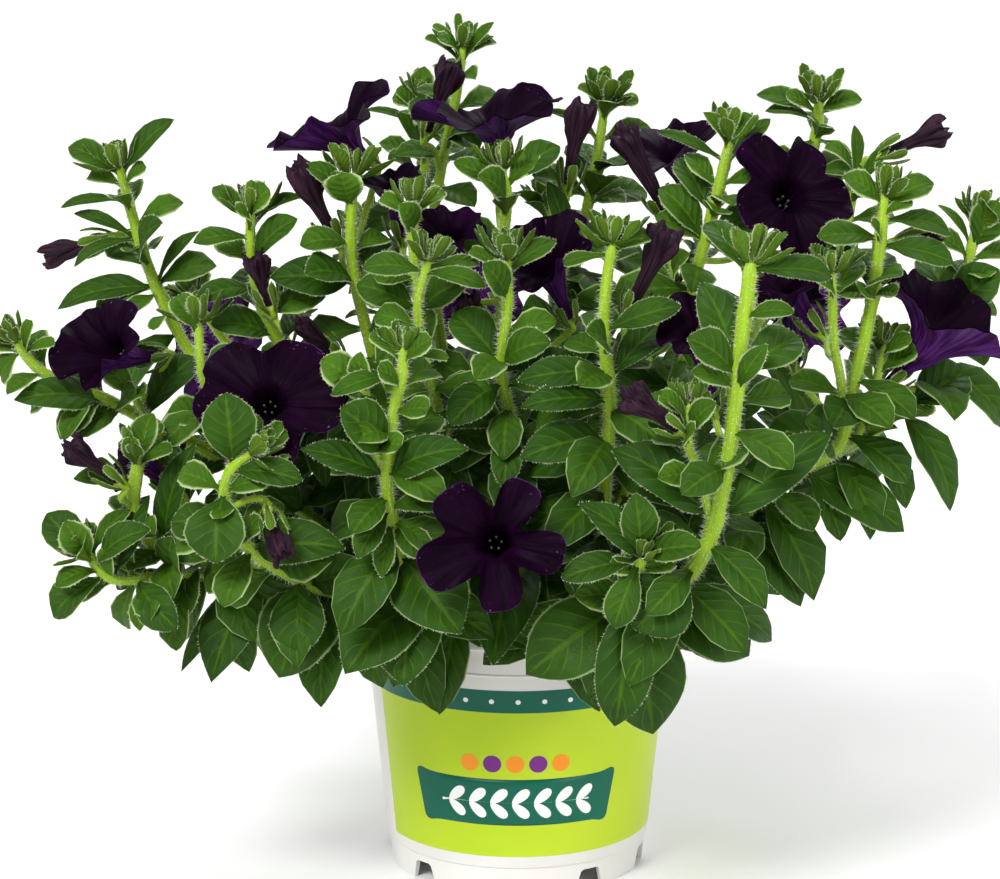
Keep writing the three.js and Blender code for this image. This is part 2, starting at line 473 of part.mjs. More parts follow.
const PETIOLE_END = 0.1;
const SMALL_LEAF = 13;
const GROWN_LEAF = 31;

// Young leaves are widest towards their blunt tips, and grown ones below the middle
const YOUNG_OUTLINE = { rise: 0.9, fall: 0.58 };
const GROWN_OUTLINE = { rise: 0.58, fall: 0.72 };

// Half the width of a leaf at a share u of its length
function halfWidth(u, { width, size }) {
  const { rise, fall } = size < GROWN_LEAF ? YOUNG_OUTLINE : GROWN_OUTLINE;
  const outline = (q) => q ** rise * Math.max(1 - q, 0) ** fall;
  const blade = outline(Math.max((u - PETIOLE_END) / (1 - PETIOLE_END), 0)) / outline(rise / (rise + fall));
  const petiole = Math.min(PETIOLE_HALF_WIDTH, width * 0.2) * (u < 0.5 ? 1 : 0);
  return Math.max((width / 2) * blade, petiole);
}

// The shares of its length at which a leaf has an edge point on both sides
function stationsFor(leaf) {
  if (leaf.size < SMALL_LEAF) return [0.58];
  return leaf.size < GROWN_LEAF ? [0.36, 0.76] : [0.17, 0.48, 0.8];
}

// The blade has a ridge under its midrib, and its upper face spans its two lifted edges.
// Extra makes it larger all round, and from leaves off its root: both serve to test its clearance.
function leafSolid(leaf, extra = 0, from = 0) {
  const form = leafForm(leaf);
  const stations = stationsFor(leaf);
  const section = (u) => {
    const half = halfWidth(u, leaf) + extra * 1.2;
    const lift = Math.max(leaf.fold * half, 0.35);
    const rib = form.rib(u);
    const normal = form.normal(u);
    const top = rib.clone().addScaledVector(normal, lift + extra);
    return [
      top.clone().addScaledVector(form.side, -half),
      top.clone().addScaledVector(form.side, half),
      rib.clone().addScaledVector(normal, -LEAF_THICKNESS + Math.min(lift, 0.6) - extra),
    ];
  };
  const tip = form.rib(1).addScaledVector(form.forward, extra * 1.5);
  const rings = stations.map(section);
  if (from > 0) return ringSolid([section(from), ...rings.filter((_, i) => stations[i] > from), [tip]]);
  return ringSolid([[form.rib(0)], ...rings, [tip]]);
}

// What is placed so far, so that each new leaf can be laid clear of it
const placed = [];

function place(node, kind, solid, test = solid) {
  const box = solid.boundingBox();
  placed.push({ node, kind, solid, test, low: box.min, high: box.max });
}

function meets(solid, ignore) {
  const { min, max } = solid.boundingBox();
  return placed.some((other) => !ignore(other)
    && [0, 1, 2].every((k) => min[k] < other.high[k] && max[k] > other.low[k])
    && solid.intersect(other.test).volume() > 1e-4);
}

// Turns, lifts and scales that a leaf tries in order, in degrees and shares of its length
const TRIES = [
  [0, 0, 1], [13, 0, 1], [-13, 0, 1], [0, 11, 1], [0, -11, 1], [0, 0, 0.86], [24, 8, 0.95],
  [-24, 8, 0.95], [22, -14, 0.92], [-22, -14, 0.92], [0, 22, 0.9], [0, -24, 0.9], [38, 0, 0.85],
  [-38, 0, 0.85], [0, 0, 0.7], [30, 24, 0.78], [-30, 24, 0.78], [46, -14, 0.72], [-46, -14, 0.72],
  [64, 8, 0.68], [-64, 8, 0.68], [0, 40, 0.7], [0, -42, 0.7],
];

function turnedLeaf(leaf, [turn, lift, scale]) {
  const form = leafForm(leaf);
  const chord = leaf.tip.clone().sub(leaf.base)
    .applyAxisAngle(form.side, THREE.MathUtils.degToRad(lift))
    .applyAxisAngle(form.face, THREE.MathUtils.degToRad(turn))
    .multiplyScalar(scale);
  return { ...leaf, tip: leaf.base.clone().add(chord), width: leaf.width * scale };
}

// A leaf is placed at the first try that keeps it clear of other nodes, and where it is strict,
// its blade also clear of its own shoot. With no such try it is left out.
function growLeaf(node, leaf, strict) {
  for (const attempt of TRIES) {
    const turned = turnedLeaf(leaf, attempt);
    if (meets(leafSolid(turned, LEAF_GAP), (other) => other.node === node)) continue;
    const blade = strict && leafSolid(turned, LEAF_GAP / 2, BLADE_START);
    if (blade && meets(blade, (other) => other.node !== node)) continue;
    place(node, 'leaf', leafSolid(turned));
    return;
  }
}

// The way that a leaf's upper face looks: up, and out from the middle of the plant, and on the
// front half of the plant more to the front, where its light comes from
function leafFace(direction, point) {
  const outward = new THREE.Vector3(point.x, point.y, 0).normalize();
  const front = point.y < FRONT_LIMIT ? 0.75 : 0;
  return direction.clone().multiplyScalar(0.3).addScaledVector(UP, 0.55)
    .addScaledVector(outward, 0.25).add(new THREE.Vector3(0, -front, 0));
}

function makeLeaf(stem, at, tip, width, key) {
  const { point, direction } = along(stem.line, at);
  const reach = tip.clone().sub(point);
  const across = reach.clone().addScaledVector(direction, -reach.dot(direction)).normalize();
  const base = point.clone().addScaledVector(across, LEAF_ROOT);
  return {
    base, tip, width, face: leafFace(direction, point), size: reach.length(),
    bend: 0.06 + 0.1 * chance(stem.seed, key), fold: 0.14 + 0.16 * chance(stem.seed, key + 500),
  };
}

function handLeaves(stem) {
  return stem.leaves.map(([at, x, y, z, width], k) =>
    makeLeaf(stem, at, new THREE.Vector3(x, y, z), width * LEAF_FULLNESS, k));
}

// A direction at a slant to the stem, turned round it by an angle
function slanted(direction, angle, slant) {
  const side = new THREE.Vector3(1, 0, 0).addScaledVector(direction, -direction.x).normalize();
  const across = new THREE.Vector3().crossVectors(direction, side);
  return direction.clone().multiplyScalar(Math.cos(slant))
    .addScaledVector(side, Math.sin(slant) * Math.cos(angle))
    .addScaledVector(across, Math.sin(slant) * Math.sin(angle));
}

// Pairs of leaves at even steps along a stem, the lower ones larger and more spread
function pairLeaves(stem) {
  const leaves = [];
  const last = stem.line.last;
  const lengths = [0];
  const fine = last * 8;
  for (let k = 1; k <= fine; k += 1) {
    lengths.push(lengths[k - 1]
      + along(stem.line, k / 8).point.distanceTo(along(stem.line, (k - 1) / 8).point));
  }
  const sparse = stem.leaves.length > 0;
  let reach = lengths[fine] - (sparse ? SPARSE_START : DENSE_START);
  for (let level = 0; reach > stem.bare; level += 1) {
    const k = lengths.findIndex((length) => length >= reach);
    const at = k / 8;
    for (const half of [0, 1]) {
      const key = 1000 + level * 2 + half;
      const angle = 2.2 * stem.seed + level * 1.75 + half * (2.7 + 0.6 * chance(stem.seed, key + 90));
      const { point, direction } = along(stem.line, at);
      const spread = Math.min(0.85 + 0.14 * level, 1.45) + 0.2 * chance(stem.seed, key);
      const grown = Math.min((sparse ? 25 : 19) + 4.5 * level, 34);
      const length = grown * (0.85 + 0.3 * chance(stem.seed, key + 200));
      const chord = slanted(direction, angle, spread).multiplyScalar(length);
      const droop = Math.min(0.06 * level, 0.3) * length;
      const tip = point.clone().add(chord).addScaledVector(UP, -droop);
      const width = length * (0.56 + 0.1 * chance(stem.seed, key + 300));
      leaves.push(makeLeaf(stem, at, tip, width, key));
    }
    const step = sparse ? SPARSE_INTERNODE : INTERNODE;
    reach -= step * (0.85 + 0.3 * chance(stem.seed, 1700 + level));
  }
  return leaves;
}

// The tuft of young leaves at a stem's tip: four blunt leaves round three upright ones, or only
// upright ones where the tip's larger leaves have places of their own
const TUFT_LENGTH = 13;
const TUFT_COUNT = 4;
const TUFT_SLANT = 0.85;
const TUFT_BLUNT = 0.2;
const TUFT_INNER_COUNT = 3;
const TUFT_INNER_LENGTH = 9;
const TUFT_INNER_SLANT = 0.4;
const TUFT_TRIES = [
  [0, 1], [0.4, 1], [0.8, 1], [0, 0.85], [0.4, 0.85], [0.8, 0.85], [0, 0.7], [0.6, 0.7], [0, 0.55],
];

function tuftSolid(stem, turn, scale, extra) {
  const { point, direction } = along(stem.line, stem.line.last);
  const foot = point.clone().addScaledVector(direction, 0.6);
  const star = (count, length, slant, shift, blunt) => Array.from({ length: count }, (_, i) => {
    const angle = stem.seed + turn + shift + (i / count) * 2 * Math.PI;
    const long = length * scale * (0.86 + 0.28 * chance(stem.seed, 3000 + count * 10 + i)) + extra;
    const point = (sideways, reach) =>
      foot.clone().addScaledVector(slanted(direction, angle + sideways, slant), reach);
    const ends = blunt ? [point(-blunt, long), point(blunt, long)] : [point(0, long)];
    return [...ends, point(Math.PI / count, 3.2 + extra)];
  }).flat();
  const around = (count, radius, lift) => Array.from({ length: count }, (_, k) =>
    slanted(direction, stem.seed + turn + (k / count) * 2 * Math.PI, Math.PI / 2)
      .multiplyScalar(radius + extra).add(foot).addScaledVector(direction, lift));
  const inner = star(TUFT_INNER_COUNT, TUFT_INNER_LENGTH * stem.head, TUFT_INNER_SLANT, 0.5, 0);
  const top = around(TUFT_INNER_COUNT, 0.5, 2.6 + extra);
  if (stem.tuft === 'inner') return ringSolid([around(3, 1.3, -1.6 - extra), inner, top]);
  const outer = star(TUFT_COUNT, TUFT_LENGTH * stem.head, TUFT_SLANT, 0, TUFT_BLUNT);
  return ringSolid([
    around(TUFT_COUNT, 1.2, -1.6 - extra), outer, around(TUFT_COUNT, 1.7, 2 + extra), inner, top,
  ]);
}

function growTuft(stem) {
  if (!stem.head) return;
  for (const strict of [true, false]) {
    for (const [turn, scale] of TUFT_TRIES) {
      const whole = tuftSolid(stem, turn, scale, LEAF_GAP);
      const beside = (other) => other.node === stem.node && (!strict || other.kind === 'stem');
      if (meets(whole, beside)) continue;
      place(stem.node, 'leaf', tuftSolid(stem, turn, scale, 0));
      return;
    }
  }
}

// Flowers

function ringAround(centre, axis, count, radiusAt, liftAt = () => 0, start = 0) {
  const side = new THREE.Vector3(0.2, 0.3, 1).cross(axis).normalize();
  const across = new THREE.Vector3().crossVectors(axis, side);
  return Array.from({ length: count }, (_, i) => {
    const angle = start + (i / count) * 2 * Math.PI;
    return centre.clone()
      .addScaledVector(side, radiusAt(angle, i) * Math.cos(angle))
      .addScaledVector(across, radiusAt(angle, i) * Math.sin(angle))
      .addScaledVector(axis, liftAt(angle, i));
  });
}

// The way a flower's middle line runs from its calyx to the middle of its mouth
function flowerLine(flower) {
  const base = vector(flower.base);
  const mouth = vector(flower.mouth);
  const facing = vector(flower.facing).normalize();
  const reach = base.distanceTo(mouth);
  const bendPoint = mouth.clone().addScaledVector(facing, -0.45 * reach);
  const curve = new THREE.QuadraticBezierCurve3(base, bendPoint, mouth);
  return { curve, facing, reach, start: bendPoint.clone().sub(base).normalize() };
}

// A flower's stalk ends in a calyx, a small cup with five pointed sepals
function stalkSolid(flower, stem) {
  const { start } = flowerLine(flower);
  const base = vector(flower.base);
  const foot = base.clone().addScaledVector(start, -CALYX_LENGTH);
  const path = [along(stem.line, flower.at).point, vector(flower.via), foot];
  const line = { last: 2, stops: [0, 1, 2], centres: path, curve: smoothCurve(path) };
  const crown = (angle, i) => (i % 2 === 0 ? SEPAL_SPREAD : 2.9);
  const crownLift = (angle, i) => (i % 2 === 0 ? SEPAL_REACH : 0);
  return ringSolid([
    ...tubeRings(line, STALK_RADIUS, STALK_RADIUS).slice(0, -1),
    ringAround(foot, start, 5, () => 1.5),
    ringAround(base, start, 10, crown, crownLift),
    ringAround(base, start, 5, () => 2.3, () => 0, Math.PI / 5),
  ]);
}

// Five lobes: full in the middle of each, drawn in at the notch between two
const lobe = (angle) => 0.9 + 0.1 * Math.cos(5 * angle);

// A narrow tube up to its throat, then a funnel that flares more and more to its rim. A flower
// seen from the side has its throat lower down, at a share of its own of the middle line.
const THROAT = 0.8;
const FLARE_PLACE = 0.6;
const FLARE_POWER = 1.6;
const PETAL_THICKNESS = 0.9;

function corollaSolid(flower) {
  const { curve, facing } = flowerLine(flower);
  const radius = flower.diameter / 2;
  const throat = Math.min(radius * 0.3, 7);
  const throatPlace = flower.throat ?? THROAT;
  const flarePlace = throatPlace + FLARE_PLACE * (1 - throatPlace);
  const flare = throat + (radius * 0.9 - throat) * FLARE_PLACE ** FLARE_POWER;
  const sides = flower.diameter < 31 ? 5 : 10;
  const at = (t) => curve.getPoint(t);
  const tangent = (t) => curve.getTangent(t);
  const start = at(0).addScaledVector(tangent(0), COROLLA_GAP);
  const wave = (angle) => -0.06 * radius * Math.cos(5 * angle) - 0.05 * radius;
  return ringSolid([
    ringAround(start, tangent(0), 5, () => 1.6),
    ringAround(at(throatPlace / 2), tangent(throatPlace / 2), 5, () => 2.9),
    ringAround(at(throatPlace), tangent(throatPlace), sides, () => throat),
    ringAround(at(flarePlace), tangent(flarePlace), sides, () => flare),
    ringAround(at(1), facing, 2 * sides, (angle) => radius * lobe(angle), wave),
    ringAround(at(flarePlace), tangent(flarePlace), sides, () => flare - PETAL_THICKNESS,
      () => PETAL_THICKNESS),
    ringAround(at(throatPlace), tangent(throatPlace), 5, () => throat * 0.72),
    [at(throatPlace * 0.6)],
  ]);
}

function wiltedSolid(flower) {
  const { curve, facing } = flowerLine(flower);
  const at = (t) => curve.getPoint(t);
  const tangent = (t) => curve.getTangent(t);
  const start = at(0).addScaledVector(tangent(0), COROLLA_GAP);
  const crumple = (radius, depth) => (angle, i) => radius * (i % 2 === 0 ? 1 : depth);
  const width = flower.diameter / 2;
  return ringSolid([
    ringAround(start, tangent(0), 5, () => 1.6),
    ringAround(at(0.45), tangent(0.45), 5, crumple(width * 0.5, 0.85)),
    ringAround(at(0.93), facing, 5, crumple(width, 0.7), (angle, i) => (i % 2 === 0 ? 1.5 : -2)),
    ringAround(at(1), facing, 5, crumple(width * 0.5, 0.7), () => -1.2),
  ]);
}

// Pot and soil

const wallAt = (z) => POT_BASE_RADIUS + POT_TAPER * z;

function lathe(profile, sides) {
  const outline = profile.map(([r, z]) => new THREE.Vector2(r, z));
  return solidFromGeometry(new THREE.LatheGeometry(outline, sides).rotateX(Math.PI / 2));
}

// The space inside the pot's wall, drawn in by a gap
function cavityProfile(gap, top) {
  const floor = POT_WALL + gap;
  return [
    [0, floor], [PAD_RADIUS - 1.2 - gap, floor],
    [PAD_RADIUS + PAD_SLOPE - 1.2 - gap, floor + FLOOR_RISE],
    [wallAt(floor + FLOOR_RISE) - POT_WALL - FOOT_STEP - gap, floor + FLOOR_RISE], ...top,
  ];
}

// A block that cuts one notch through the foot ring
function notch(degrees) {
  const half = NOTCH_WIDTH / 2;
  const outline = new THREE.Shape([
    new THREE.Vector2(-half - 1.5, -1), new THREE.Vector2(half + 1.5, -1),
    new THREE.Vector2(half - 0.5, FLOOR_RISE), new THREE.Vector2(-half + 0.5, FLOOR_RISE),
  ]);
  const block = new THREE.ExtrudeGeometry(outline, { depth: 8, bevelEnabled: false });
  block.rotateX(Math.PI / 2).translate(0, -POT_BASE_RADIUS + 5, 0);
  return solidFromGeometry(block.rotateZ(THREE.MathUtils.degToRad(degrees)));
}

function drain(k) {
  const angle = ((k + 0.5) / DRAIN_COUNT) * 2 * Math.PI;
  return solidFromGeometry(new THREE.CylinderGeometry(DRAIN_RADIUS, DRAIN_RADIUS, 8, 6)
    .rotateX(Math.PI / 2)
    .translate(DRAIN_PLACE * Math.cos(angle), DRAIN_PLACE * Math.sin(angle), FLOOR_RISE));
}

function potSolid() {
  const skirt = POT_BASE_RADIUS - FOOT_STEP;
  const outer = lathe([
    [0, 0], [PAD_RADIUS, 0], [PAD_RADIUS + PAD_SLOPE, FLOOR_RISE], [skirt - POT_WALL, FLOOR_RISE],
    [skirt - POT_WALL, 0], [skirt, 0], [wallAt(FOOT_HEIGHT) - FOOT_STEP, FOOT_HEIGHT],
    [wallAt(FOOT_HEIGHT), FOOT_HEIGHT + 0.6], [wallAt(RIM_BOTTOM), RIM_BOTTOM],
    [RIM_RADIUS, RIM_BOTTOM + 0.8], [RIM_RADIUS, POT_HEIGHT],
    [0, POT_HEIGHT],
  ], POT_SIDES);
  const cavity = lathe(cavityProfile(0, [
    [RIM_RADIUS - 2.6, POT_HEIGHT + 1], [0, POT_HEIGHT + 1],
  ]), POT_SIDES);
  const cuts = [...NOTCH_ANGLES.map(notch), ...Array.from({ length: DRAIN_COUNT }, (_, k) => drain(k))];
  return cuts.reduce((pot, cut) => pot.subtract(cut), outer.subtract(cavity));
}

function soilSolid(stems) {
  const edge = wallAt(SOIL_EDGE) - POT_WALL - SOIL_GAP - 0.4;
  const top = [[edge, SOIL_EDGE], [SOIL_FLAT, SOIL_TOP], [0, SOIL_TOP]];
  const fill = lathe(cavityProfile(SOIL_GAP, top), SOIL_SIDES);
  return stems.filter((stem) => stem.rooted).reduce((soil, stem) => {
    const [foot, above] = tubeRings(stem.line, stem.r[0] + HOLE_GAP, stem.r[0] + HOLE_GAP);
    return soil.subtract(ringSolid([foot.map((p) => p.setZ(p.z - HOLE_GAP)), above]));
  }, fill);
}

// The whole plant in its pot

const stems = [];
let seed = 1;
for (const [node, parts] of Object.entries(SHOOTS)) {
  for (const [key, part] of Object.entries(parts)) {
    const rooted = part.path[0][2] < SOIL_TOP;
    const line = stemLine(part.path);
    const tip = vector(part.path[part.path.length - 1]);
    const tipLeaves = part.leaves.filter(([at]) => along(line, at).point.distanceTo(tip) < TIP_ZONE);
    const tuft = tipLeaves.length > 2 ? 'inner' : 'whole';
    const bare = rooted ? BARE_FOOT : BARE_BRANCH;
    stems.push({ node, key, seed, rooted, tuft, bare, line, ...part });
    seed += 1;
  }
}
const stemOf = (key) => stems.find((stem) => stem.key === key);

const pot = potSolid();
const soil = soilSolid(stems);
place('pot', 'pot', pot);
place('soil', 'soil', soil);
for (const stem of stems) {
  const [foot, tip] = stem.r;
  const clearance = tube(stem.line, foot + LEAF_GAP, tip + LEAF_GAP);
  place(stem.node, 'stem', tube(stem.line, foot, tip), clearance);
}
const blooms = [];
for (const [name, flower] of Object.entries(FLOWERS)) {
  const stem = stemOf(flower.stem);
  const solid = flower.kind === 'open' ? corollaSolid(flower) : wiltedSolid(flower);
  blooms.push({ name, kind: flower.kind, solid });
  place(name, 'corolla', solid);
  place(stem.node, 'stalk', stalkSolid(flower, stem));
}

for (const stem of stems) handLeaves(stem).forEach((leaf) => growLeaf(stem.node, leaf, false));
stems.forEach(growTuft);
for (const stem of stems) pairLeaves(stem).forEach((leaf) => growLeaf(stem.node, leaf, true));

const plant = new THREE.Group();
plant.name = 'potted_petunia';

function addMesh(name, solid, colour, roughness) {
  const mesh = solid.getMesh();
  const geometry = new THREE.BufferGeometry();
  const points = new THREE.BufferAttribute(new Float32Array(mesh.vertProperties), 3);
  geometry.setAttribute('position', points);
  geometry.setIndex(new THREE.BufferAttribute(new Uint32Array(mesh.triVerts), 1));
  const material = new THREE.MeshStandardMaterial({ color: colour, roughness, metalness: 0 });
  const piece = new THREE.Mesh(geometry, material);
  piece.name = name;
  plant.add(piece);
}

// All pieces of a shoot in one solid, without any scrap that lies loose
function joined(node) {
  const solids = placed.filter((piece) => piece.node === node).map((piece) => piece.solid);
  const bodies = solids.reduce((whole, solid) => whole.add(solid)).decompose();
  return bodies.reduce((largest, body) => (body.volume() > largest.volume() ? body : largest));
}

addMesh('pot', pot, COLOURS.pot, 0.35);
addMesh('soil', soil, COLOURS.soil, 0.95);
for (const node of Object.keys(SHOOTS)) addMesh(node, joined(node), COLOURS.leaf, 0.6);
for (const { name, kind, solid } of blooms) {
  if (kind === 'open') addMesh(name, solid, COLOURS.corolla, 0.5);
  else addMesh(name, solid, COLOURS.wilted, 0.8);
}

export default plant;
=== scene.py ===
"""Looks of the potted trailing petunia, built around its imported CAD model.

Every shoot and flower is rebuilt finer where its solid is: the same stems, leaves and mouths,
with veins, folds and hairs. Sizes are in millimetres here, and become metres in each mesh.
"""
import math

import bmesh
import bpy
import numpy as np
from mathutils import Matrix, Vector, geometry, kdtree


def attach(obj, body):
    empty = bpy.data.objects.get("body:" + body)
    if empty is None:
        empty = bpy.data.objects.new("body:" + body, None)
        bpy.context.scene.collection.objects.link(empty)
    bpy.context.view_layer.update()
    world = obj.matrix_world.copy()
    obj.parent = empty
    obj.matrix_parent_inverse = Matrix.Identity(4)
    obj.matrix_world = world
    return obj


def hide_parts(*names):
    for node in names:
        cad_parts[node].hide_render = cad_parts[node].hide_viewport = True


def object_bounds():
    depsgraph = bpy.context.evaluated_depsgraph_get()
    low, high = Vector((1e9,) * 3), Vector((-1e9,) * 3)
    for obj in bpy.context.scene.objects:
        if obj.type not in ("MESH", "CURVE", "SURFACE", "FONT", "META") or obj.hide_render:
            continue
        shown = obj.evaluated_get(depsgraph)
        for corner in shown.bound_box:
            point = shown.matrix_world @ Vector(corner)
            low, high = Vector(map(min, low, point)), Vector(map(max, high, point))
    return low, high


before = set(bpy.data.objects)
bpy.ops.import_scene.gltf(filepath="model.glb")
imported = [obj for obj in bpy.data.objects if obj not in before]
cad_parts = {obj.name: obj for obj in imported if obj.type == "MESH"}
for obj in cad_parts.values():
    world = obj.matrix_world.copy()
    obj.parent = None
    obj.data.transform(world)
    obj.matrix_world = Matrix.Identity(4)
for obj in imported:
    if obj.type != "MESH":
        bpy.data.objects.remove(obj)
cad_box = [list(corner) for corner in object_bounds()]

MM = 0.001

# Camera: where the photograph was taken from, in millimetres and degrees
CAMERA_PLACE = (-6.5, -1450, 505)
CAMERA_PITCH = 13.4
CAMERA_LENS = 146.1
SENSOR_WIDTH = 36
PHOTO_WIDTH = 1000

# Pot, as in the CAD part
POT_BASE_RADIUS = 47.6
POT_TAPER = 0.0987
POT_HEIGHT = 103
POT_WALL = 1.5
RIM_RADIUS = 59.8
RIM_BOTTOM = 95
FOOT_HEIGHT = 10.2
FOOT_STEP = 0.7
PAD_RADIUS = 30
PAD_SLOPE = 2
FLOOR_RISE = 7.5
NOTCH_ANGLES = [-47, 34, 75, 133, 214, 255]
NOTCH_WIDTH = 9
DRAIN_RADIUS = 3.5
DRAIN_COUNT = 3
DRAIN_PLACE = 38
SOIL_EDGE = 90
SOIL_TOP = 92.5
SOIL_FLAT = 42

# Plant, as in the CAD part
LONG_KNOT = 28
STALK_RADIUS = 1.25
LEAF_ROOT = 0.7
PETIOLE_HALF_WIDTH = 1.1
LEAF_FULLNESS = 1.12
PETIOLE_END = 0.1
SMALL_LEAF = 13
GROWN_LEAF = 31
YOUNG_OUTLINE = (0.9, 0.58)
GROWN_OUTLINE = (0.58, 0.72)
CALYX_LENGTH = 5
SEPAL_REACH = 9
SEPAL_SPREAD = 5.6
COROLLA_GAP = 0.3
INTERNODE = 35
SPARSE_INTERNODE = 120
DENSE_START = 11
SPARSE_START = 40
TIP_ZONE = 14
BARE_FOOT = 52
BARE_BRANCH = 12
FRONT_LIMIT = 65
TUFT_LENGTH = 13
TUFT_COUNT = 4
TUFT_SLANT = 0.85
TUFT_BLUNT = 0.2
TUFT_INNER_COUNT = 3
TUFT_INNER_LENGTH = 9
TUFT_INNER_SLANT = 0.4
THROAT = 0.8
FLARE_POWER = 1.6

